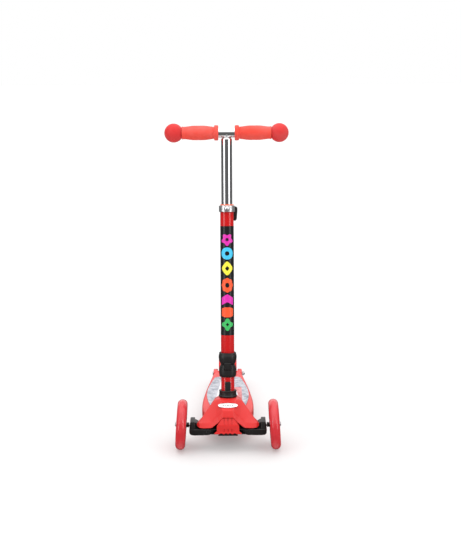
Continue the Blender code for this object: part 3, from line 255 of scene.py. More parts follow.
def bright_metal(name, colour, roughness, streak=(1, 1, 1), depth=0.00001):
    """Metal whose gloss varies in faint streaks, with hairline marks."""
    m = Maker(bpy.data.materials.new(name))
    at = m.place()
    marks = m.noise(m.moved(at, scale=streak), 500.0, 4.0, 0.65)
    cloud = m.noise(at, 18.0, 2.0)
    deep = tuple(c * 0.9 for c in colour)
    return m.set(
        Base_Color=m.mix(cloud, deep, colour),
        Metallic=1.0,
        Roughness=marks * roughness * 0.6 + cloud * roughness * 0.3 + roughness * 0.5,
        Normal=m.bump(marks, depth),
    )


def printed_sheet(name):
    """The deck mat: mottled grey and white print, a white wedge on one side of the column and
    a pale red field with a white arrow on the other."""
    m = Maker(bpy.data.materials.new(name))
    at = m.place()
    x, y, _ = m.parts(at)
    cloud = m.noise(at, 55.0, 6.0, 0.75)
    lines = m.noise(m.moved(at, turn=(0, 0, 0.5), scale=(1, 4, 1)), 60.0, 3.0, 0.6).step(0.50, 0.56)
    grey = m.mix(cloud.step(0.36, 0.62), (0.13, 0.15, 0.20), (0.42, 0.43, 0.48))
    grey = m.mix(lines * 0.6, grey, (0.60, 0.60, 0.62))
    along = y + 0.13
    wedge = (x + 0.037 - along * 0.09).step(-0.001, 0.001)
    wedge = wedge * (0.012 + along * 0.10 - x - 0.037).step(-0.001, 0.001) * (x < -0.012)
    field = (x > 0.012) * (0.030 + (along * 40).least(1.0) * 0.006 - x).step(-0.001, 0.001) * (y < 0.03)
    streak = m.noise(m.moved(at, scale=(3, 1, 1)), 40.0, 4.0, 0.7).step(0.42, 0.6)
    pink = m.mix(streak, (0.50, 0.10, 0.11), (0.60, 0.26, 0.26))
    arrow = ((x - 0.021).size() < (0.004 - y).least(0.030) * 0.16) * (y > -0.03) * (y < 0.004)
    tone = m.mix(wedge, grey, (0.68, 0.68, 0.70))
    tone = m.mix(field, tone, pink)
    tone = m.mix(arrow, tone, (0.66, 0.66, 0.70))
    fine = m.noise(at, 900.0, 2.0)
    return m.set(
        Base_Color=tone, Roughness=fine * 0.12 + cloud * 0.1 + 0.32, Normal=m.bump(fine, 0.00004)
    )


FINISH = {
    "red_plastic": moulded_plastic("red moulding", (0.62, 0.022, 0.02), 0.34, 0.00003),
    "black_plastic": moulded_plastic("black moulding", (0.012, 0.011, 0.011), 0.42, 0.00006, 0.25),
    "orange_plastic": moulded_plastic("orange bush", (0.85, 0.16, 0.07), 0.45, 0.00003),
    "red_paint": powder_coat("red powder coat", (0.58, 0.008, 0.009)),
    "wheel_rubber": clear_rubber("wheel rubber", (0.52, 0.014, 0.022), (0.70, 0.07, 0.08)),
    "wheel_core": clear_rubber("wheel core", (0.62, 0.035, 0.045), (0.80, 0.16, 0.17)),
    "grip_rubber": soft_rubber("coral grip rubber", (0.82, 0.065, 0.043), 0.5),
    "ball_rubber": soft_rubber("dark ball rubber", (0.66, 0.028, 0.028), 0.5),
    "steel": bright_metal("zinc-plated steel", (0.55, 0.55, 0.56), 0.34, (1, 1, 5)),
    "chrome": bright_metal("chrome plate", (0.86, 0.86, 0.87), 0.05, (1, 1, 0.1), 0.000002),
    "aluminium": bright_metal("satin cast aluminium", (0.80, 0.80, 0.81), 0.42, (3, 1, 1)),
    "badge_enamel": moulded_plastic("badge enamel", (0.85, 0.85, 0.84), 0.2, 0.00001, 0.02),
    "badge_rim": bright_metal("badge rim", (0.86, 0.86, 0.87), 0.12),
    "badge_ink": moulded_plastic("badge ink", (0.30, 0.28, 0.27), 0.3, 0.00001),
    "label_ink": moulded_plastic("label ink", (0.012, 0.012, 0.013), 0.25, 0.00001, 0.2),
    "label_magenta": moulded_plastic("magenta print", (0.72, 0.03, 0.42), 0.3, 0.00001),
    "label_blue": moulded_plastic("light blue print", (0.06, 0.55, 0.85), 0.3, 0.00001),
    "label_yellow": moulded_plastic("yellow print", (0.90, 0.80, 0.06), 0.3, 0.00001),
    "label_orange": moulded_plastic("red-orange print", (0.88, 0.10, 0.03), 0.3, 0.00001),
    "label_green": moulded_plastic("green print", (0.05, 0.48, 0.12), 0.3, 0.00001),
    "printed_mat": printed_sheet("printed mat"),
}
for part in frame["record"]["subparts"]:
    node = NODES[part["node"]]
    node.data.materials.clear()
    node.data.materials.append(FINISH[part["material_slot"]])


# ---------------------------------------------------------------- frames, in millimetres
def shift(x, y, z):
    """A move by x, y and z."""
    moved = np.eye(4)
    moved[:3, 3] = (x, y, z)
    return moved


def turn(axis, degrees):
    """A right-handed turn about one axis."""
    a, b = [i for i in range(3) if i != "xyz".index(axis)]
    c, s = np.cos(np.radians(degrees)), np.sin(np.radians(degrees))
    s = -s if axis == "y" else s
    turned = np.eye(4)
    turned[[a, b], [a, b]] = c
    turned[a, b], turned[b, a] = -s, s
    return turned


AXLE_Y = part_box("front_left_tyre")[0].y / MM + 60  # front axle
FRONT = shift(0, AXLE_Y, 0)
COLLAR_Z, BAR_Z, RAKE = 122, 739, 8.8  # heights over the floor, and the column's lean in degrees
CAMBER = 3.7  # lean of the front wheels, in degrees
TIE_BACK = 24  # from a kingpin back to its tie screw
COLUMN = FRONT @ shift(0, 45, COLLAR_Z) @ turn("x", -RAKE)  # Z runs up the column from the collar
REAR = FRONT @ shift(0, 448, 40)
# outlines in y and z, stacked across the bike
UPRIGHT = FRONT @ np.array([[0, 0, 1, 0], [1, 0, 0, 0], [0, 1, 0, 0], [0, 0, 0, 1]], float)
ALONG_X = turn("y", 90)  # local Z onto +X
ALONG_Y = turn("x", -90)  # local Z onto +Y
FENDER_PIN = FRONT @ shift(0, 398, 58) @ ALONG_X
BAR_S = (BAR_Z - COLLAR_Z) / np.cos(np.radians(RAKE))  # cross bar, along the column
CLAMP_TOP = BAR_S - 172
CLAMP_MID = CLAMP_TOP - 7.65
WAIST = 71  # where the column folds
STRIP_R = 16.12  # outside of the printed strip round the tube
STRIP_LENGTH, STRIP_TOP = 261, 403.6  # the top is along the column
SIDES = {"left": -1, "right": 1}


def king_frame(side):
    """Local Z runs up a tilted kingpin, from the middle of its boss."""
    return FRONT @ shift(36 * side, 0, 51) @ turn("x", 20)


def axle_frame(side):
    """Local Z runs outwards along a front axle, from the middle of the cambered wheel."""
    height = 48 * np.cos(np.radians(CAMBER)) + 12
    return FRONT @ shift(111 * side, 0, height) @ turn("y", side * (90 - CAMBER))


# ---------------------------------------------------------------- surfaces from arrays
def eased(path, corner, steps=5, closed=True, drop=True):
    """A path of straight runs whose corners are parabolas.

    Each parabola leaves the path one corner length before its point, is drawn towards the
    point, and joins the path again one corner length after it.
    """
    path = np.asarray(path, float)
    size = np.array(np.broadcast_to(corner, len(path)), float)
    if not closed:
        size[[0, -1]] = 0
    back, on = np.roll(path, 1, 0) - path, np.roll(path, -1, 0) - path
    back_run = np.maximum(np.linalg.norm(back, axis=1), 1e-9)
    on_run = np.maximum(np.linalg.norm(on, axis=1), 1e-9)
    lead = back * (np.minimum(size, back_run * 0.49) / back_run)[:, None]
    tail = on * (np.minimum(size, on_run * 0.49) / on_run)[:, None]
    t = np.linspace(0, 1, steps)[None, :, None]
    points = path[:, None] + (1 - t) ** 2 * lead[:, None] + t**2 * tail[:, None]
    points = points.reshape(-1, path.shape[1])
    fresh = np.linalg.norm(np.diff(points, axis=0), axis=1) > 1e-6
    return points[np.concatenate([[True], fresh])] if drop else points


def put(points, frame):
    """Points given in a frame, as points in the object's own frame."""
    return points @ frame[:3, :3].T + frame[:3, 3]


def skin(grid, loop=False, ends=False):
    """Quads between a grid's neighbours: columns close into rings, rows too where loop.

    ends puts a flat face on the first and the last ring.
    """
    rows, columns = grid.shape[:2]
    index = np.arange(rows * columns).reshape(rows, columns)
    across = np.roll(index, -1, 1)
    if loop:
        quads = np.stack([index, across, np.roll(across, -1, 0), np.roll(index, -1, 0)], -1)
    else:
        quads = np.stack([index[:-1], across[:-1], across[1:], index[1:]], -1)
    faces = quads.reshape(-1, 4).tolist()
    if ends:
        faces += [index[0].tolist(), index[-1].tolist()]
    return grid.reshape(-1, 3), faces


def lathe(profile, frame, corner=0.4, steps=96, eases=5):
    """Turns an outline about local Z: x = r cos a, y = r sin a at each (r, height)."""
    profile = np.asarray(profile, float)
    on_axis = profile[:, 0] < 1e-6
    closed = not on_axis[0]
    outline = eased(profile, np.where(on_axis, 0, corner), eases, closed)
    a = np.linspace(0, 2 * np.pi, steps, endpoint=False)
    r, h = outline[:, :1], outline[:, 1:]
    grid = np.stack([r * np.cos(a), r * np.sin(a), h + 0 * a], -1)
    return skin(put(grid, frame), loop=closed)


def round_bar(radius, low, high, frame, corner=0.4, steps=96):
    """A round bar between two heights."""
    return lathe([(0, high), (radius, high), (radius, low), (0, low)], frame, corner, steps)


def rim(low, high, edge, steps=5):
    """Rows of (inset, height) for quarter-round edges: the inset is edge (1 - sin a)."""
    a = np.linspace(0, np.pi / 2, steps)
    inset, lift = edge * (1 - np.sin(a)), edge * (1 - np.cos(a))
    return np.concatenate([
        np.stack([inset, low + lift], 1), np.stack([inset[::-1], high - lift[::-1]], 1)
    ])


def slab(outline, rows, frame, corner=0, steps=5):
    """Stacks a closed outline, moved inward by an inset at each (inset, height) row.

    Each corner moves along its mitre, so that its two sides both move by the inset, and is
    then rounded by its corner length less the inset.
    """
    outline, rows = np.asarray(outline, float), np.asarray(rows, float)
    corner = np.array(np.broadcast_to(corner, len(outline)), float)
    x, y = outline.T
    if np.sum(x * np.roll(y, -1) - y * np.roll(x, -1)) < 0:
        outline, corner = outline[::-1], corner[::-1]
    on = np.roll(outline, -1, 0) - outline
    on /= np.linalg.norm(on, axis=1, keepdims=True)
    after = np.stack([-on[:, 1], on[:, 0]], 1)
    before = np.roll(after, 1, 0)
    mitre = (after + before) / (1 + np.sum(after * before, 1, keepdims=True))
    rings = []
    for inset, height in rows:
        ring = outline + mitre * inset
        if corner.any():
            ring = eased(ring, np.maximum(corner - inset, 0.06), steps, drop=False)
        rings.append(np.column_stack([ring, np.full(len(ring), height)]))
    return skin(put(np.stack(rings), frame), ends=True)


def brick(low, high, corner, edge, frame):
    """A block with rounded corners in plan and quarter-round edges above and below."""
    outline = [(low[0], low[1]), (high[0], low[1]), (high[0], high[1]), (low[0], high[1])]
    return slab(outline, rim(low[2], high[2], edge), frame, corner)


def coil(radius, wire, low, high, turns, frame):
    """A helix of round wire: a point runs round the axis as it climbs, and a circle of the
    wire's radius stands across its way, spanned by the outward and the upward direction."""
    a = np.linspace(0, 2 * np.pi * turns, int(turns * 36))[:, None]
    b = np.linspace(0, 2 * np.pi, 12, endpoint=False)
    out = radius + wire * np.cos(b)
    height = low + (high - low) * a / a[-1] + wire * np.sin(b)
    grid = np.stack([out * np.cos(a), out * np.sin(a), height], -1)
    return skin(put(grid, frame), ends=True)


def net(control, share_down, share_across, steps=6):
    """A surface over rows of control points: along each direction it runs straight from
    point to point, and turns on a parabola that takes a share of the run each side."""
    grid = np.asarray(control, float)
    for axis, share in ((0, share_down), (1, share_across)):
        grid = np.moveaxis(grid, axis, 0)
        share = np.array(np.broadcast_to(share, len(grid)), float)
        share[[0, -1]] = 0
        back = (np.roll(grid, 1, 0) - grid) * share[:, None, None]
        on = (np.roll(grid, -1, 0) - grid) * share[:, None, None]
        t = np.linspace(0, 1, steps)[None, :, None, None]
        grid = grid[:, None] + (1 - t) ** 2 * back[:, None] + t**2 * on[:, None]
        grid = grid.reshape(-1, *grid.shape[2:])
        fresh = np.abs(np.diff(grid, axis=0)).max((1, 2)) > 1e-6
        grid = np.moveaxis(grid[np.concatenate([[True], fresh])], 0, axis)
    return grid


def sheet(grid):
    """Quads over an open grid, for a surface that a wall is given to afterwards."""
    rows, columns = grid.shape[:2]
    index = np.arange(rows * columns).reshape(rows, columns)
    quads = np.stack([index[:-1, :-1], index[:-1, 1:], index[1:, 1:], index[1:, :-1]], -1)
    return grid.reshape(-1, 3), quads.reshape(-1, 4).tolist()


def walled(grid, wall):
    """A closed shell: the grid, and the grid moved inward along its normals by the wall."""
    down, across = np.gradient(grid, axis=0), np.gradient(grid, axis=1)
    normal = np.cross(down, across)
    normal /= np.linalg.norm(normal, axis=-1, keepdims=True)
    middle = normal[grid.shape[0] // 2, grid.shape[1] // 2]
    inner = grid - normal * wall * np.sign(middle[2])
    layers = np.stack([grid, inner])
    index = np.arange(layers[..., 0].size).reshape(layers.shape[:3])
    quads = np.stack([index[:, :-1, :-1], index[:, :-1, 1:], index[:, 1:, 1:], index[:, 1:, :-1]], -1)
    edge, other = (np.concatenate([at[0, :-1], at[:-1, -1], at[-1, :0:-1], at[:0:-1, 0]]) for at in index)
    strip = np.stack([np.roll(edge, -1), edge, other, np.roll(other, -1)], -1)
    return layers.reshape(-1, 3), [*quads.reshape(-1, 4).tolist(), *strip.tolist()]


def mesh_of(name, shells):
    """One mesh of some shells, in metres, merged where points meet, facing outwards."""
    points = np.concatenate([p for p, _ in shells]) * MM
    faces, start = [], 0
    for p, quads in shells:
        faces += [[corner + start for corner in face] for face in quads]
        start += len(p)
    mesh = bpy.data.meshes.new(name)
    mesh.from_pydata(points.tolist(), [], faces)
    tidy = bmesh.new()
    tidy.from_mesh(mesh)
    bmesh.ops.remove_doubles(tidy, verts=tidy.verts[:], dist=0.000002)
    bmesh.ops.recalc_face_normals(tidy, faces=tidy.faces[:])
    tidy.to_mesh(mesh)
    tidy.free()
    return mesh


def carved(source, joined=(), cuts=(), wall=0.0):
    """A mesh with a wall given to it, other shells joined to it and more cut from it."""
    solids = [
        shells if isinstance(shells, bpy.types.Mesh) else mesh_of("solid", [shells])
        for shells in (source, *joined, *cuts)
    ]
    made = [bpy.data.objects.new("solid", mesh) for mesh in solids]
    for solid in made:
        bpy.context.scene.collection.objects.link(solid)
    if wall:
        shell = made[0].modifiers.new("wall", "SOLIDIFY")
        shell.thickness, shell.offset, shell.use_even_offset = wall * MM, -1, True
    for number, other in enumerate(made[1:]):
        change = made[0].modifiers.new("change", "BOOLEAN")
        change.operation = "UNION" if number < len(joined) else "DIFFERENCE"
        change.object = other
    graph = bpy.context.evaluated_depsgraph_get()
    mesh = bpy.data.meshes.new_from_object(made[0].evaluated_get(graph))
    for solid in made:
        bpy.data.objects.remove(solid, do_unlink=True)
    tidy = bmesh.new()
    tidy.from_mesh(mesh)
    bmesh.ops.remove_doubles(tidy, verts=tidy.verts[:], dist=0.000003)
    bmesh.ops.dissolve_degenerate(tidy, edges=tidy.edges[:], dist=0.000002)
    tidy.to_mesh(mesh)
    tidy.free()
    return mesh


BODY_OF = {
    node: body for body, nodes in frame["record"]["behaviour"]["bodies"].items() for node in nodes
}
SLOT_OF = {part["node"]: part["material_slot"] for part in frame["record"]["subparts"]}


def piece(name, source, node, finish=None, sharp=35):
    """Makes a visible piece that stands for a CAD node and moves with its body."""
    mesh = source if isinstance(source, bpy.types.Mesh) else mesh_of(name, source)
    mesh.materials.clear()
    mesh.materials.append(FINISH[finish or SLOT_OF[node]])
    mesh.shade_smooth()
    mesh.set_sharp_from_angle(angle=radians(sharp))
    made = bpy.data.objects.new(name, mesh)
    bpy.context.scene.collection.objects.link(made)
    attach(made, BODY_OF[node])
    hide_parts(node)
    return made


# ---------------------------------------------------------------- wheels
def wheel(name, radius, half, core, frame, spokes):
    """A tyre, its spoked core and two bearings, turned and stacked about local Z."""
    tread = radius - half
    a = np.radians(np.linspace(74, -74, 41))
    groove = 0.35 * np.exp(-((half * np.sin(a)) / 0.5) ** 2)
    crown = np.stack([tread + (half - groove) * np.cos(a), half * np.sin(a)], 1)
    side = [
        (core + 0.3, half * 0.8), (core + 1.4, half * 0.86),
        (core + 2.6, half * 0.86), (core + 3.4, half * 0.95),
    ]
    back = [(r, -h) for r, h in reversed(side)]
    piece(f"tyre.{name}", [lathe(side + crown.tolist() + back, frame, 0.25, 128, 3)], f"{name}_tyre")

    face, web, hub = half - 1.5, 3.0, 15.2
    hub_ring = lathe([(11.3, face), (hub, face), (hub, -face), (11.3, -face)], frame, 0.5, 72)
    rim_ring = lathe([
        (core - 4, face - 0.6), (core - 1.2, face - 0.6), (core - 0.6, face - 1.4), (core, face - 1.4),
        (core, 1.4 - face), (core - 0.6, 1.4 - face), (core - 1.2, 0.6 - face), (core - 4, 0.6 - face),
    ], frame, 0.4, 128)
    disc = lathe([(hub - 1, 1.2), (core - 3, 1.2), (core - 3, -1.2), (hub - 1, -1.2)], frame, 0, 128)
    arms = []
    for number in range(spokes):
        lean = frame @ turn("z", number * 360 / spokes)
        outline = [
            (hub - 1.5, -5), (hub + 4, -3), (core - 7, -3.4), (core - 3, -6),
            (core - 3, 6), (core - 7, 3.4), (hub + 4, 3), (hub - 1.5, 5),
        ]
        arms.append(slab(outline, rim(-web, web, 1.0, 4), lean, 2))
    piece(f"wheel_core.{name}", [hub_ring, rim_ring, disc, *arms], f"{name}_core")

    for label, way in (("outer", 1), ("inner", -1)):
        z0, z1 = half - 7.8, half - 0.8
        race = [(8.9, z1 - 0.5), (9.3, z1), (11, z1), (11, z0), (9.3, z0), (8.9, z0 + 0.5)]
        seal = [(6.15, z1 - 0.7), (8.85, z1 - 0.5), (8.85, z0 + 0.5), (6.15, z0 + 0.7)]
        cone = [(4.3, z1), (5.8, z1), (6.1, z1 - 0.5), (6.1, z0 + 0.5), (5.8, z0), (4.3, z0)]
        turned = frame if way > 0 else frame @ turn("x", 180)
        rings = [lathe(ring, turned, 0.2, 48, 3) for ring in (race, seal, cone)]
        piece(f"bearing.{name}_{label}", rings, f"{name}_{label}_bearing")


def front_wheels():
    """Two cambered wheels outside the steering arms."""
    for name, side in SIDES.items():
        wheel(f"front_{name}", 60, 12, 41, axle_frame(side), 5)


def rear_wheels():
    """Two upright wheels side by side in the deck's fork."""
    for name, side in SIDES.items():
        wheel(f"rear_{name}", 40, 11, 27, REAR @ shift(12.2 * side, 0, 0) @ turn("y", 90 * side), 5)


# ---------------------------------------------------------------- steering arms
def hexagon(across):
    """A hexagon's corners, by the distance between its flats."""
    a = np.radians(np.arange(6) * 60 + 30)
    return np.stack([np.cos(a), np.sin(a)], 1) * across / 2 / np.cos(np.pi / 6)


def steering_arm(name, side):
    """The low beam, the tall outer block with its sloping face, the boss and the tie lug.

    Each is an outline stacked along the bike or up the kingpin, with rounded rims.
    """
    king, axle = king_frame(side), axle_frame(side)
    mirror = np.array([side, 1])
    lying = FRONT @ turn("x", 90)  # outlines in x and z, stacked towards the front

    def along(outline, corner, y0, y1, edge):
        return slab(np.array(outline) * mirror, rim(-y1, -y0, edge), lying, corner)

    beam = along([(57, 41.3), (84, 41), (91.5, 44), (92, 56.5), (57, 56)], [1, 6, 6, 2.5, 1], -25, 20, 1.6)
    lip = along(
        [(41, 43.5), (47, 41.6), (60, 41.7), (60, 55.1), (41, 55.1)], [2.5, 5, 1, 1, 1.5], -24.8, -19.6, 1.2
    )
    outer = np.array([
        [(77.5, -23.5, 50), (77.5, 18.5, 50), (91.3, 18.5, 50), (91.3, -24.6, 50)],
        [(77.5, -23.5, 57), (77.5, 18.5, 57), (91.3, 18.5, 57), (91.3, -24.6, 57)],
        [(79, -19, 72.4), (79, 15.6, 72.4), (89.4, 15.6, 72.4), (89.4, -19, 72.4)],
        [(81.5, -16, 72.9), (81.5, 12, 72.9), (87, 12, 72.9), (87, -16, 72.9)],
    ]) * [side, 1, 1]
    rounded = np.stack([eased(ring, 2.2, 5) for ring in outer])
    tall = skin(put(rounded, FRONT), ends=True)
    web = along(
        [(58, 50), (80, 50), (80, 70.5), (73, 68), (64, 59), (58, 57)], [1, 1, 2, 4, 5, 1], -13, 11, 1.2
    )
    boss = round_bar(9, -5, 5, king, 0.8, 64)
    neck = brick((min(0, 24 * side), -12, -4.7), (max(0, 24 * side), 9, 4.7), 1.5, 1, king)
    a = np.linspace(0, 2 * np.pi, 48, endpoint=False)
    lug_outline = np.stack([6.5 * np.cos(a), 6.5 * np.sin(a) + 24 * (np.sin(a) > 0)], 1)
    lug = slab(lug_outline, rim(-4.85, -0.3, 0.6), king)
    pin_hole = round_bar(4.5, -20, 20, king, 0, 48)
    tie_hole = round_bar(2.3, -20, 20, king @ shift(0, TIE_BACK, 0), 0, 32)
    axle_hole = round_bar(4.3, -32.3, 0, axle, 0, 48)
    drain = round_bar(1.2, -6, 6, FRONT @ shift(51 * side, -25, 50.5) @ ALONG_Y, 0, 24)
    mesh = carved(beam, [lip, tall, web, boss, neck, lug], [pin_hole, tie_hole, axle_hole, drain])
    piece(f"arm.{name}", mesh, f"{name}_steering_arm")

    head = 12
    bolt = lathe([
        (0, head + 3.2), (3.4, head + 3.2), (5.2, head + 2.2), (5.85, head + 0.8), (5.85, head - 0.3),
        (4, head - 0.3), (4, -32), (0, -32),
    ], axle, 0.6, 64)
    key = slab(hexagon(4), [(0, head + 0.9), (0, head + 6)], axle)
    piece(f"axle_bolt.{name}", carved(bolt, (), [key]), f"{name}_axle_bolt")
    sleeve = lathe([
        (6.15, -11.5), (6.15, -13), (5.6, -13.6), (5.6, -16.2),
        (6.15, -16.9), (6.15, -18.1), (4.3, -18.1), (4.3, -11.5),
    ], axle, 0.3, 64)
    piece(f"axle_sleeve.{name}", [sleeve], f"{name}_axle_sleeve")
    screw = lathe(
        [(0, 7.3), (2.6, 7.3), (4, 6.2), (4, 5.1), (2, 5.1), (2, -5), (0, -5)],
        king @ shift(0, TIE_BACK, 0), 0.4, 40,
    )
    cross = slab(hexagon(2.6), [(0, 6), (0, 9)], king @ shift(0, TIE_BACK, 0))
    piece(f"tie_screw.{name}", carved(screw, (), [cross]), f"{name}_tie_screw")


# ---------------------------------------------------------------- cover, badge and nose
def front_cover():
    """A moulded sheet over a net of points from one leg's end to the other.

    Across, the net runs over the bike; down, it runs from the arch's lower edge over the
    chamfer, the sloping face and the top to the lower back edge. A wall is given to it
    inwards, and the column's hole is cut.
    """
    # each column of the half net: lower edge, crease, shoulder, back edge, lower back edge
    half = np.array([
        [(0, -25.2, 85.8), (0, -18.5, 101), (0, 21, 117.6), (0, 74, 109.4), (0, 78.5, 66.5)],
        [(13.3, -25.2, 85.8), (12.6, -18.5, 101), (20, 21.5, 117.2), (19, 73, 109.2), (24, 78, 66.5)],
        [(22, -25.4, 75), (26, -16.5, 86.4), (33.5, 25, 112.4), (31.5, 70, 103), (33, 74, 69)],
        [(40, -25.6, 60.6), (39, -18.5, 71.4), (53, 4, 91.5), (38.5, 30, 96), (39, 32, 70)],
        [(56, -25.6, 60), (54, -19, 70.6), (65, -8, 76.5), (60, 9, 77), (60, 11.5, 66.5)],
        [(67.5, -24.6, 60.6), (67, -19.5, 70.0), (71.6, -16, 69.6), (71, -2, 69.5), (71.4, 1, 62)],
        [(72.6, -18.5, 62.4), (73.4, -17.4, 66.4), (74, -15, 66.4), (74, -6, 66), (73.4, -5, 62.2)],
    ])
    left = half[:0:-1] * [-1, 1, 1]
    across = np.concatenate([left, half])
    smooth = [0.10, 0.10, 0.16, 0.16, 0.28, 0.12]
    grid = net(across, [0, *smooth[:0:-1], 0.3, *smooth[1:], 0], [0, 0.08, 0.16, 0.2, 0], 7)
    room = round_bar(24.5, -100, -11.4, COLUMN, 0, 96)
    gap = round_bar(16.6, -60, 20, COLUMN, 0, 64)
    mesh = carved(sheet(put(grid, FRONT)), (), [room, gap], wall=2.6)
    piece("cover.moulding", mesh, "front_cover", sharp=50)


def badge():
    """An oval plate with a bright rim: an ellipse stacked with a round rim, on the slope."""
    low, high = np.array([0, -18.5, 100.8]), np.array([0, 21, 117.4])
    tilt = np.degrees(np.arctan2(high[2] - low[2], high[1] - low[1]))
    face = FRONT @ shift(*(low * 0.6 + high * 0.4)) @ turn("x", tilt)
    a = np.linspace(0, 2 * np.pi, 96, endpoint=False)
    oval = np.stack([np.cos(a), np.sin(a)], 1)
    rim_plate = slab(oval * [23.6, 8.6], rim(-0.6, 1.7, 0.7), face)
    well = slab(oval * [22.2, 7.2], [(0, 1.0), (0, 4)], face)
    piece("badge.rim", carved(rim_plate, (), [well]), "cover_badge", "badge_rim")
    piece("badge.face", [slab(oval * [22.1, 7.1], rim(0.7, 1.35, 0.3), face)], "cover_badge", "badge_enamel")
    shapes = []
    for x, wide, high in ((-11, 2.2, 1.8), (-5.5, 2.6, 1.2), (0, 2.4, 2.0), (5.5, 2.6, 1.2), (11, 2.2, 1.8)):
        shapes.append(slab(oval[::3] * [wide, high] + [x, 0], rim(1.2, 1.5, 0.1), face))
    piece("badge.dots", shapes, "cover_badge", "badge_ink")


def nose():
    """The ribbed nose: an outline in y and z stacked across, grooves and slots cut, a lip."""
    outline = [(-19.4, 84.6), (-22.5, 84.6), (-31.4, 68.5), (-31.8, 52), (-19.4, 51)]
    body = slab(outline, rim(-26.4, 26.4, 1.6), UPRIGHT, [0.5, 2, 3, 2, 0.5])
    lip_rows = np.array([
        [(-25.5, -19.6, 56), (-25.5, -31.6, 56), (25.5, -31.6, 56), (25.5, -19.6, 56)],
        [(-26.5, -19.6, 52), (-28.5, -32.2, 52), (28.5, -32.2, 52), (26.5, -19.6, 52)],
        [(-26.5, -19.6, 49), (-33, -33, 49.6), (33, -33, 49.6), (26.5, -19.6, 49)],
        [(-26.5, -19.6, 47), (-33.4, -32.8, 47.4), (33.4, -32.8, 47.4), (26.5, -19.6, 47)],
    ])
    lip = skin(put(np.stack([eased(ring, 2.5, 6) for ring in lip_rows]), FRONT), ends=True)
    cuts = []
    for x in (-9, 0, 9):
        lean = FRONT @ shift(x, -27, 76.5) @ turn("x", 61)
        cuts.append(brick((-1.2, -8.6, -1.5), (1.2, 11, 5), 0.9, 0.6, lean))
        cuts.append(brick((x - 1.2, -36, 53), (x + 1.2, -29.6, 60), 0.8, 0.8, FRONT))
    for x in (-16, -4.5, 4.5, 16):
        scallop = round_bar(4.6, -10, 8, FRONT @ shift(x, -33, 45.2) @ ALONG_Y, 0.3, 40)
        cuts.append(scallop)
    for side in (-1, 1):
        ear = brick((-20, -15.5, -10), (20, 15, 20), 1, 1, king_frame(side))
        cuts.append(ear)
        wedge = [(27, 60), (27, 90), (12.8, 90), (12.8, 84.6), (21.5, 73), (26.2, 66)]
        flat = np.array(wedge) * [side, 1]
        cuts.append(slab(flat, [(0, 12), (0, 40)], FRONT @ turn("x", 90)))
    piece("nose.moulding", carved(body, [lip], cuts), "nose_block")


# ---------------------------------------------------------------- column
def collar():
    """A turned ring with a rolled top rim and a flared foot, and the key up its front."""
    ring = lathe([
        (17.6, 8), (18.2, 8.6), (20.4, 8.6), (21.1, 7.8), (21.1, 5.6), (20.5, 5.0), (20.8, -2.5), (22.1, -4.2),
        (22.1, -6.6), (21.2, -7.6), (16.4, -7.6), (16.4, 4), (17.6, 5.4),
    ], COLUMN, 0.5, 128)
    key = brick((-6.8, 15.9 - 36, 0), (6.8, 19.9 - 36, 26), 1.4, 1.3, COLUMN @ shift(0, 0, 5))
    piece("collar.ring", carved(ring, [key]), "stem_collar")


def column_tubes():
    """The stub, the outer tube with the button's hole, and the bush that lines it."""
    stub = lathe([(16, 56), (16, -48), (14.4, -48), (14.4, 56)], COLUMN, 0.5, 96)
    piece("stub.tube", [stub], "stem_stub")
    hole = round_bar(4, -40, 0, COLUMN @ shift(0, 0, CLAMP_MID) @ ALONG_Y, 0, 48)
    tube = lathe([(16, CLAMP_TOP), (16, 79.5), (14.4, 79.5), (14.4, CLAMP_TOP)], COLUMN, 0.4, 128)
    piece("mast.tube", carved(tube, (), [hole]), "outer_tube")
    bush = lathe([
        (13.3, CLAMP_TOP + 3), (15.2, CLAMP_TOP + 3), (16.2, CLAMP_TOP + 1.9), (16.2, CLAMP_TOP + 0.3),
        (14.1, CLAMP_TOP + 0.3), (14.1, CLAMP_TOP - 60), (13.3, CLAMP_TOP - 60),
    ], COLUMN, 0.5, 96)
    piece("bush.sleeve", carved(bush, (), [hole]), "tube_bush")


def wrapped(outline, corner, middle, hole=0.0):
    """A flat shape bent round the tube: across becomes an angle (x / R), up stays up.

    Its outline, drawn in short runs, is shrunk towards the middle in steps, on the front
    and again on the back; a hole is the share of the outline that is left open.
    """
    outline = np.asarray(outline, float)
    ends = np.roll(outline, -1, 0)
    t = np.linspace(0, 1, 13)[:-1, None] if len(outline) < 12 else np.zeros((1, 1))
    if corner:
        outline = eased(outline, corner, 6)
        ends = np.roll(outline, -1, 0)
        t = np.linspace(0, 1, 5)[:-1, None]
    ring = (outline[:, None] + t * (ends - outline)[:, None]).reshape(-1, 2)
    share = np.linspace(max(hole, 0.05), 1, 9)
    share = np.concatenate([share, share[::-1]])[:, None]
    out = np.repeat([STRIP_R + 0.2, STRIP_R - 0.06], 9)[:, None]
    angle = ring[:, 0] * share / 16
    bent = np.stack([
        out * np.sin(angle), -out * np.cos(angle), ring[:, 1] * share + middle
    ], -1)
    return skin(put(bent, COLUMN), loop=hole > 0, ends=hole == 0)


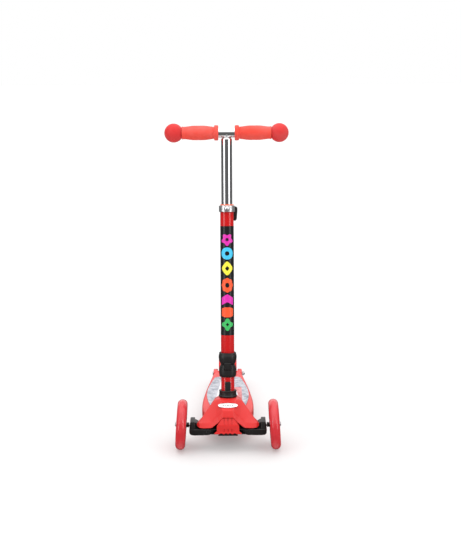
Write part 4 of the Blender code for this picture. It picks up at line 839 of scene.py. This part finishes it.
def strip_label():
    """A dark strip round the tube with seven plain coloured shapes, one above the other."""
    a = np.linspace(-2.45, 2.45, 97)
    up = np.array([[STRIP_TOP - STRIP_LENGTH], [STRIP_TOP]])
    layers = [
        np.stack([r * np.sin(a) + 0 * up, -r * np.cos(a) + 0 * up, up + 0 * a], -1)
        for r in (STRIP_R, STRIP_R - 0.1)
    ]
    loop = np.concatenate([layers[0], layers[1][:, ::-1]], 1)
    piece("label.strip", [skin(put(loop, COLUMN), ends=True)], "outer_tube", "label_ink")

    t = np.linspace(0, 2 * np.pi, 96, endpoint=False)

    def polar(radius, wide, high):
        return np.stack([radius * np.cos(t) * wide, radius * np.sin(t) * high], 1)

    wide = 15.2
    flower = polar(0.85 + 0.15 * np.cos(5 * t + np.pi / 2), wide, 15)
    disc = polar(1, wide, 14.4)
    diamond = [(0, -19), (wide + 1, 0), (0, 19), (-wide - 1, 0)]
    burst = polar(0.88 + 0.12 * np.abs(np.cos(4 * t)), wide, 17.6)
    chevron = [(-wide, -13), (0, -5), (wide, -13), (wide, 5), (0, 14), (-wide, 5)]
    block = [(-wide, -9), (-6, -12), (6, -12), (wide, -9), (wide, 9), (6, 12), (-6, 12), (-wide, 9)]
    clover = polar(0.82 + 0.18 * np.cos(4 * t), wide, 15)
    # finish, outline, corner, how far its middle is below the strip's top, hole
    shapes = (
        ("label_magenta", flower, 0, 32, 0.3), ("label_blue", disc, 0, 65, 0.36),
        ("label_yellow", diamond, 7, 100.5, 0.34), ("label_orange", burst, 0, 140.7, 0.34),
        ("label_magenta", chevron, 2.5, 176, 0), ("label_orange", block, 2, 205.5, 0),
        ("label_green", clover, 0, 235, 0.26),
    )
    for number, (finish, outline, corner, below, hole) in enumerate(shapes):
        shape = wrapped(outline, corner, STRIP_TOP - below, hole)
        piece(f"label.shape_{number + 1}", [shape], "outer_tube", finish)


def fold_section(x_radius, front, back, height):
    """One ring of the fold joint: a superellipse, its front and back half drawn apart."""
    a = np.linspace(0, 2 * np.pi, 96, endpoint=False)
    power = 2 / 2.5
    x = x_radius * np.sign(np.cos(a)) * np.abs(np.cos(a)) ** power
    y = np.where(np.sin(a) < 0, front, back) * np.sign(np.sin(a)) * np.abs(np.sin(a)) ** power
    return np.stack([x, y, height + 0 * a], 1)


def fold_joint():
    """The two halves of the joint: rings stacked up the column, waisted at the sides."""
    low = np.stack([
        fold_section(*row) for row in (
            (16.4, 16.4, 16.4, 41.2), (18.4, 18.4, 18.4, 41.6), (20.0, 20.0, 19.6, 43.6),
            (20.6, 20.6, 20.2, 47),
            (20.7, 20.7, 20.3, 55), (20.5, 20.6, 20.2, 61), (19.2, 20.4, 20, 66), (17.4, 20.3, 19.6, 69.6),
            (16.6, 20.1, 19.4, 70.9),
        )
    ])
    pin_at = COLUMN @ shift(0, 24, 71.3) @ ALONG_X
    room = round_bar(6.7, -8.2, 8.2, pin_at, 0.2, 64)
    latch_gap = brick((-9, -30, 59), (9, -14, 78), 1, 1, COLUMN)
    socket = round_bar(16.3, 35, 57, COLUMN, 0, 96)
    cheeks = []
    for side in (-1, 1):
        x0, x1 = sorted((side * 8.2, side * 15))
        cheeks.append(brick((x0, 8, 57), (x1, 24, 70.6), 0.8, 0.8, COLUMN))
        cheeks.append(round_bar(6, x0, x1, pin_at, 0.7, 64))
    pin_hole = round_bar(2.8, -30, 30, pin_at, 0, 32)
    mesh = carved(skin(put(low, COLUMN), ends=True), cheeks, [room, pin_hole, socket, latch_gap])
    piece("fold.lower", mesh, "fold_base")

    high = np.stack([
        fold_section(*row) for row in (
            (16.6, 20.1, 18.0, 71.7), (17.4, 20.3, 18.2, 73), (19.0, 21.0, 19, 76.4), (20.6, 21.5, 20.4, 81),
            (21.6, 21.8, 21.6, 86), (21.8, 21.8, 21.8, 90), (21.4, 21.4, 21.4, 93.8), (20.7, 20.7, 20.7, 95.2),
            (20.5, 20.5, 20.5, 98.6), (20.1, 20.1, 20.1, 99.6), (19.4, 19.4, 19.4, 100),
        )
    ])
    lug = brick((-7.5, 8, 71.8), (7.5, 24, 84), 0.8, 0.8, COLUMN)
    barrel = round_bar(6, -7.5, 7.5, pin_at, 0.6, 64)
    side_rooms = [
        round_bar(6.7, x - 6, x + 6, pin_at, 0, 64) for x in (-14.2, 14.2)
    ]
    tube_room = round_bar(16.35, 79, 110, COLUMN, 0, 96)
    mouth = lathe([(16, 104), (18.4, 104), (18.0, 98.4), (16, 97.6)], COLUMN, 0.3, 96)
    pin_room = round_bar(3.1, -30, 30, pin_at, 0, 32)
    # the side rooms are cut before the lug is joined, so that the lug stays whole
    body = carved(skin(put(high, COLUMN), ends=True), (), [*side_rooms, latch_gap])
    mesh = carved(body, [lug, barrel], [pin_room, tube_room, mouth])
    piece("fold.upper", mesh, "fold_head")

    button = brick((-8.4, 59.6, 0), (8.4, 77.4, 6.0), 2.2, 1.6, COLUMN @ shift(0, -16.3, 0) @ turn("x", 90))
    piece("fold.latch", [button], "fold_latch")
    pin = lathe([(0, 15.6), (1.9, 15.6), (2.5, 15), (2.5, -15), (1.9, -15.6), (0, -15.6)], pin_at, 0.3, 40)
    piece("fold.pin", [pin], "fold_pin")


def clamp():
    """The split ring with its ears and button boss, the pull rod, the lever, the button."""
    low, high = CLAMP_TOP - 15.3, CLAMP_TOP
    middle = COLUMN @ shift(0, 0, CLAMP_MID)
    ring = lathe([
        (16.3, high), (18.6, high), (19, high - 0.4), (19, low + 0.4), (18.6, low), (16.3, low),
    ], COLUMN, 0.5, 128)
    ears = brick((-7.2, 17.4, low + 0.8), (7.2, 31, high - 0.8), 2.4, 0.8, COLUMN)
    boss = lathe([(0, -21.8), (7.0, -21.8), (7.4, -21.2), (7.4, -17.4), (0, -17.4)], middle @ ALONG_Y, 0.4, 64)
    tube_gap = round_bar(16.25, low - 9, high + 9, COLUMN, 0, 128)
    slit = brick((-1.2, 12, low - 5), (1.2, 40, high + 5), 0.1, 0.1, COLUMN)
    cap = round_bar(6.4, -30, -19.6, middle @ ALONG_Y, 0, 64)
    stem = round_bar(4, -30, 0, middle @ ALONG_Y, 0, 48)
    rod_hole = round_bar(2.8, -40, 40, middle @ shift(0, 25.5, 0) @ ALONG_X, 0, 40)
    piece("clamp.ring", carved(ring, [ears, boss], [tube_gap, slit, cap, stem, rod_hole]), "clamp_ring")

    rod = [(0, 22.6), (2.5, 22.6), (2.5, -7.5), (5, -7.5), (5, -10.6), (4.2, -11.5), (0, -11.5)]
    eye = round_bar(1.3, -10, 10, middle @ shift(20, 25.5, 0) @ ALONG_Y, 0, 24)
    mesh = carved(lathe(rod, middle @ shift(0, 25.5, 0) @ ALONG_X, 0.4, 48), (), [eye])
    piece("clamp.rod", mesh, "clamp_skewer")

    hang = middle @ shift(20, 25.5, 0) @ turn("x", 90)  # outline in x and height, stacked to the front
    a = np.linspace(0, np.pi, 24)
    lobe = np.stack([5.4 * np.cos(a), 5.4 * np.sin(a)], 1)
    blade = [(-5.2, -6), (-5.0, -15), (-6.0, -25), (-4.4, -29), (0.6, -29.4), (3.6, -26), (4.6, -14), (5.3, -6)]
    outline = np.concatenate([lobe, eased(blade, 2.4, 5, closed=False)])
    lever = slab(outline, rim(-5.2, 5.2, 1.7, 6), hang)
    gap = round_bar(6.8, -3.1, 3.1, middle @ shift(20, 25.5, 0) @ ALONG_Y, 0.2, 48)
    pin = round_bar(1, -4.4, 4.4, middle @ shift(20, 25.5, 0) @ ALONG_Y, 0, 24)
    piece("clamp.lever", carved(carved(lever, (), [gap]), [pin]), "clamp_lever")

    face = -21.9
    button = lathe([
        (0, -15.4), (3.5, -15.4), (3.5, face), (6, face), (6, face - 1.3), (5.4, face - 2.1), (4.9, face - 2.0),
        (4.2, face - 2.7), (2.4, face - 3.6), (0, face - 3.9),
    ], middle @ ALONG_Y, 0.35, 64)
    piece("clamp.button", [button], "height_button")


# ---------------------------------------------------------------- handlebar
def handlebar():
    """The sliding tube with its shoulder and neck, the cross bar, and the weld round it."""
    low, across = CLAMP_TOP - 203, COLUMN @ shift(0, 0, BAR_S) @ ALONG_X
    tube = lathe([
        (13, low), (13, BAR_S - 15.6), (12.3, BAR_S - 13.4), (9.6, BAR_S - 11.8), (8.8, BAR_S - 10.4),
        (8.6, BAR_S), (7, BAR_S), (7, BAR_S - 20), (11.5, BAR_S - 23), (11.5, low),
    ], COLUMN, 1.2, 128)
    bar = round_bar(11, -130.5, 130.5, across, 0.3, 96)
    hollow = round_bar(9.5, -131, 131, across, 0, 96)
    a = np.linspace(0, 2 * np.pi, 120, endpoint=False)[:, None]
    b = np.linspace(0, 2 * np.pi, 16, endpoint=False)
    # the weld follows where the neck meets the bar: height = -sqrt(R^2 - y^2) round the neck
    reach, bead = 9.2, 1.15
    x, y = reach * np.cos(a), reach * np.sin(a)
    drop = -np.sqrt(11.3**2 - y**2)
    grid = np.stack([
        x + bead * np.cos(b) * np.cos(a), y + bead * np.cos(b) * np.sin(a), BAR_S + drop + bead * np.sin(b)
    ], -1)
    weld = skin(put(grid, COLUMN), loop=True)
    piece("bar.tee", carved(tube, [bar, weld], [hollow]), "handlebar_tube")


def grip(name, side):
    """A soft sleeve: its radius is a waisted line along it, less three oval dents above and
    below, plus a low arched panel in front and behind."""
    along = COLUMN @ shift(0, 0, BAR_S) @ turn("y", 90 * side)
    h = np.unique(np.concatenate([np.linspace(19.5, 34, 40), np.linspace(34, 106, 130)]))[:, None]
    a = np.linspace(0, 2 * np.pi, 160, endpoint=False)
    base = 14.6 + 2.6 * np.exp(-(((h - 66) / 26) ** 4)) + 0.9 / (1 + np.exp((104 - h) * 1.5)) * (h > 100)
    flange = 3.5 / (1 + np.exp((h - 29.2) * 3)) - 1.2 * np.exp(-(((h - 19.5) / 1.1) ** 2))
    radius = base + flange - 0.7 * np.exp(-(((h - 31.6) / 1.3) ** 2))
    # the angle is measured from straight up, so that 0 and pi are the dented edges
    up = np.arctan2(np.sin(a), np.cos(a))
    dents = 0
    for centre in (46, 66, 86):
        for middle in (0.55, np.pi - 0.55, -0.55, 0.55 - np.pi):
            away = np.angle(np.exp(1j * (up - middle)))
            dents = dents + np.exp(-((((h - centre) / 8.2) ** 2 + (away / 0.42) ** 2) ** 2))
    arch = 0
    for middle in (np.pi / 2, -np.pi / 2):
        away = np.angle(np.exp(1j * (up - middle)))
        reach = 1 - ((h - 66) / 31) ** 2
        edge = 0.62 * np.sqrt(np.maximum(reach, 0.02))
        arch = arch + 1 / (1 + np.exp((np.abs(away) - edge) * 26)) * (reach > 0)
    radius = radius - 0.75 * dents + 0.45 * arch
    grid = np.stack([-radius * np.cos(a), radius * np.sin(a), h + 0 * a], -1)
    inner = np.stack([-11.3 * np.cos(a) + 0 * h, 11.3 * np.sin(a) + 0 * h, h + 0 * a], -1)[[0, -1]]
    outer = skin(put(np.concatenate([grid, inner[::-1]]), along), loop=True)
    piece(f"grip.{name}", [outer], f"{name}_grip")

    turns = np.radians(np.linspace(-57, 90, 120))
    centre = 147.5 - 22.5
    rings = 0.28 * (0.5 + 0.5 * np.cos(22.5 * np.sin(turns) * 2 * np.pi / 1.9)) * (np.sin(turns) < 0.12)
    ball = np.stack([(22.5 - rings) * np.cos(turns), centre + (22.5 - rings) * np.sin(turns)], 1)
    ball[-1, 0] = 0
    profile = [(0, 131.5), (11.3, 131.5), (11.3, 106.3), (12.0, 106.3), *ball.tolist()]
    piece(f"ball.{name}", [lathe(profile, along, 0, 128, 1)], f"{name}_bar_end")


# ---------------------------------------------------------------- deck and rear
DECK_SIDE = np.array([(36, 44), (59, 59), (130, 66.3), (239, 58), (345, 43.4), (388, 39)])
MAT_SIDE = np.array([(90, 38), (125, 47), (183, 54.3), (237, 52.4), (290, 43), (337, 33)])


def plan(table, rows, ends):
    """A closed outline through half widths at places along the bike, stacked by rows."""
    right = np.stack([table[:, 1], table[:, 0]], 1)
    outline = np.concatenate([right, right[::-1] * [-1, 1]])
    size = np.array([ends, *[60] * (len(table) - 2), ends])
    return slab(outline, rows, FRONT, np.concatenate([size, size[::-1]]), 10)


def deck():
    """The deck's plan stacked over a moulded rim, its forks, and the ribs left below."""
    rows = [(3.5, 40), (1.2, 40.8), (0, 43), (0, 55), (0.3, 58.5), (1.4, 61.3), (3.2, 63.3), (5.6, 64.5),
            (8.5, 65.2), (10.5, 65.4), (11, 65.5)]
    board = plan(DECK_SIDE, rows, 6)
    forks = []
    a = np.radians(np.linspace(65, -100, 24))
    eye = np.stack([448 + 11 * np.cos(a), 40 + 11 * np.sin(a)], 1)
    ramp = eased([(400, 36), (376, 43), (376, 65), (404, 65), (424, 61), (452, 51)], 5, 6, closed=False)
    outline = np.concatenate([ramp, eye])
    for side in (-1, 1):
        x0, x1 = sorted((27.4 * side, 38.8 * side))
        forks.append(slab(outline, rim(x0, x1, 2.0), UPRIGHT))
        root = [(24, 376), (38.8, 376), (38.8, 402), (28, 402), (24, 392)]
        forks.append(slab(np.array(root) * [side, 1], rim(42.5, 65, 1.6), FRONT, 3))
    cuts = [
        round_bar(4.3, -60, 60, REAR @ ALONG_X, 0, 48),
        round_bar(2.8, -60, 60, FENDER_PIN, 0, 32),
        round_bar(24.5, -110, 0, COLUMN, 0, 96),
        brick((-23.5, 0, 30), (23.5, 49.5, 70), 0.5, 0.5, FRONT),
    ]
    for side in (-1, 1):
        hole = FRONT @ shift(11 * side, 92, 0)
        cuts.append(round_bar(2.3, 35, 52, hole, 0, 32))
    for row in range(5):
        start = 116 + row * 53
        wide = np.interp([start, start + 48], DECK_SIDE[:, 0], DECK_SIDE[:, 1]).min() - 8
        for side in (-1, 1):
            x0, x1 = sorted((2.5 * side, wide * side))
            cuts.append(brick((x0, start, 30), (x1, start + 48, 58.5), 5, 2, FRONT))
    piece("deck.board", carved(board, forks, cuts), "deck_board")

    piece("deck.mat", [plan(MAT_SIDE, rim(65.8, 67, 0.5), 14)], "deck_mat")


def rear_axle():
    """A turned bolt through the fork with a hexagon key in its head, and a hexagon nut."""
    outer = 39.1
    bolt = lathe([
        (0, outer + 9), (3.4, outer + 9), (4, outer + 8.2), (4, -outer), (5.85, -outer), (5.85, -outer - 1.6),
        (4.8, -outer - 2.9), (3.2, -outer - 3.2), (0, -outer - 3.2),
    ], REAR @ ALONG_X, 0.4, 64)
    key = slab(hexagon(4), [(0, -outer - 6), (0, -outer - 0.9)], REAR @ ALONG_X)
    piece("rear_axle.bolt", carved(bolt, (), [key]), "rear_axle")
    nut = slab(hexagon(11.4), rim(outer, outer + 6.5, 0.8), REAR @ ALONG_X, 0.6)
    bore = round_bar(4.3, outer - 9, outer + 9, REAR @ ALONG_X, 0, 48)
    piece("rear_axle.nut", carved(nut, (), [bore]), "rear_axle_nut")


def fender():
    """A crowned shell: lines along its crown, each arched across and turned down at the
    sides, with a wall given inwards, a lug for the pin, and ribs where the foot presses."""
    crown = np.array([
        (396, 62), (398.5, 70), (402, 78.5), (412, 87.5), (432, 93.4),
        (449, 95.8), (468, 93.6), (486, 84.4), (499, 70),
    ])
    half = np.array([0, 10, 18, 21.6, 24.0, 24.6])
    sag = np.array([0, 0.4, 1.3, 2.6, 5.4, 8.2])
    x = np.concatenate([-half[:0:-1], half])
    drop = np.concatenate([sag[:0:-1], sag])
    along = np.gradient(crown, axis=0)
    along /= np.linalg.norm(along, axis=1, keepdims=True)
    down = np.stack([along[:, 1], -along[:, 0]], 1)
    depth = drop[None] * np.array([0.85, 0.9, 0.95, 1, 1, 1, 1, 1, 0.9])[:, None]
    place = crown[:, None] + down[:, None] * depth[..., None]
    control = np.concatenate([np.broadcast_to(x, depth.shape)[..., None], place], -1)
    grid = net(control, 0.42, 0.4, 6)
    lug = round_bar(6, -24.3, 24.3, FENDER_PIN, 0.6, 64)
    bore = round_bar(2.8, -40, 40, FENDER_PIN, 0, 40)
    room = brick((-9, 389, 49), (9, 407, 65), 0.5, 0.5, FRONT)
    ribs = []
    for y, z, lean in ((440, 94.2, 7), (448, 94.9, 1), (456, 94.6, -5), (464, 93.3, -11), (472, 91.2, -20)):
        ribs.append(brick((-15, -1.1, -1.6), (15, 1.1, 0.9), 1, 0.5, FRONT @ shift(0, y, z) @ turn("x", lean)))
    mesh = carved(walled(put(grid, FRONT), 2.8), [lug, *ribs], [bore, room])
    piece("fender.shell", mesh, "rear_fender")


def pins_and_springs():
    """The kingpins and their springs, the deck's two screws, and the fender's spring and pin."""
    for name, side in SIDES.items():
        king = king_frame(side)
        wire = coil(6, 0.8, 9.8, 15.2, 3, king)
        piece(f"kingpin_spring.{name}", [wire], f"{name}_centring_spring")
        pin = lathe([
            (0, 18.9), (5.4, 18.9), (6.5, 17.8), (6.5, 16.5), (4, 16.5), (4, -9.5), (0, -9.5),
        ], king, 0.4, 56)
        key = slab(hexagon(5), [(0, 17.2), (0, 22)], king)
        piece(f"kingpin.{name}", carved(pin, (), [key]), f"{name}_kingpin")
        screw = lathe([
            (0, 51), (2, 51), (2, 35.7), (4, 35.7), (4, 34.8), (2.6, 33.7), (0, 33.7),
        ], FRONT @ shift(11 * side, 92, 0), 0.3, 40)
        piece(f"deck_screw.{name}", [screw], f"deck_screw_{name}")
    wire = coil(4.2, 0.8, -7, 7, 3.5, FENDER_PIN)
    piece("fender.spring", [wire], "fender_spring")
    pin = lathe([(0, 35.8), (2, 35.8), (2.5, 35.3), (2.5, -35.3), (2, -35.8), (0, -35.8)], FENDER_PIN, 0.2, 40)
    piece("fender.pin", [pin], "fender_pin")


front_wheels()
rear_wheels()
for name, side in SIDES.items():
    steering_arm(name, side)
    grip(name, side)
front_cover()
badge()
nose()
collar()
column_tubes()
strip_label()
fold_joint()
clamp()
handlebar()
deck()
rear_axle()
fender()
pins_and_springs()


# ---------------------------------------------------------------- floor, light and camera
def floor():
    """A pale sheet that the bike stands on; bright metal doesn't mirror it."""
    size = 6.0
    mesh = bpy.data.meshes.new("floor")
    corners = [(-size, -size, 0), (size, -size, 0), (size, size * 3, 0), (-size, size * 3, 0)]
    mesh.from_pydata(corners, [], [(0, 1, 2, 3)])
    made = bpy.data.objects.new("floor", mesh)
    bpy.context.scene.collection.objects.link(made)
    m = Maker(bpy.data.materials.new("pale floor"))
    cloud = m.noise(m.place(), 3.0, 2.0)
    tint = m.mix(cloud, (0.50, 0.50, 0.50), (0.52, 0.52, 0.52))
    m.set(Base_Color=tint, Emission_Color=tint, Emission_Strength=0.5, Roughness=0.9, Specular_IOR_Level=0.1)
    mesh.materials.append(m.owner)
    made.visible_glossy = False


def studio():
    """A bright ceiling that fades down to a dark band at eye level, and on each side in front
    a tall soft box with a narrow bright strip in it.

    Azimuth is measured from straight in front of the bike; height is the sine of elevation.
    """
    world = bpy.data.worlds.new("studio")
    m = Maker(world)
    east, north, height = m.parts(m.node("ShaderNodeTexCoord")["Generated"])
    azimuth = m.math("ARCTAN2", east, north * -1).size()
    wall = height.step(0.24, 0.34) * (height * height * 2.2 + 0.25)
    under = (height * -1).step(0.80, 0.90)
    box = azimuth.step(0.60, 0.68) * (1 - azimuth.step(1.14, 1.24))
    box = box * height.step(-0.14, -0.08) * (1 - height.step(0.62, 0.72))
    backdrop = azimuth.step(2.35, 2.6) * height.step(-0.04, 0.04) * (1 - height.step(0.3, 0.5))
    strip = azimuth.step(0.84, 0.90) * (1 - azimuth.step(0.98, 1.04))
    strip = strip * height.step(-0.10, 0.0) * (1 - height.step(0.45, 0.55))
    light = wall + under * 0.5 + box * 1.0 + strip * 5.0 + backdrop * 1.1 + 0.13
    tone = m.node("ShaderNodeCombineColor", None, {"Red": light, "Green": light, "Blue": light})["Color"]
    seen = m.node("ShaderNodeLightPath")["Is Camera Ray"]
    background = m.tree.nodes["Background"]
    m.plug(background.inputs["Color"], m.mix(seen, tone, (1.0, 1.0, 1.0)))
    bpy.context.scene.world = world


floor()
studio()
camera_data = bpy.data.cameras.new("camera")
camera_data.lens = 68.35
camera = bpy.data.objects.new("camera", camera_data)
bpy.context.scene.collection.objects.link(camera)
camera.location = (0.0, AXLE_Y * MM - 2.362, 0.967)
camera.rotation_euler = (radians(77), radians(0.25), radians(-0.24))
bpy.context.scene.camera = camera
bpy.context.scene.view_settings.view_transform = "Standard"
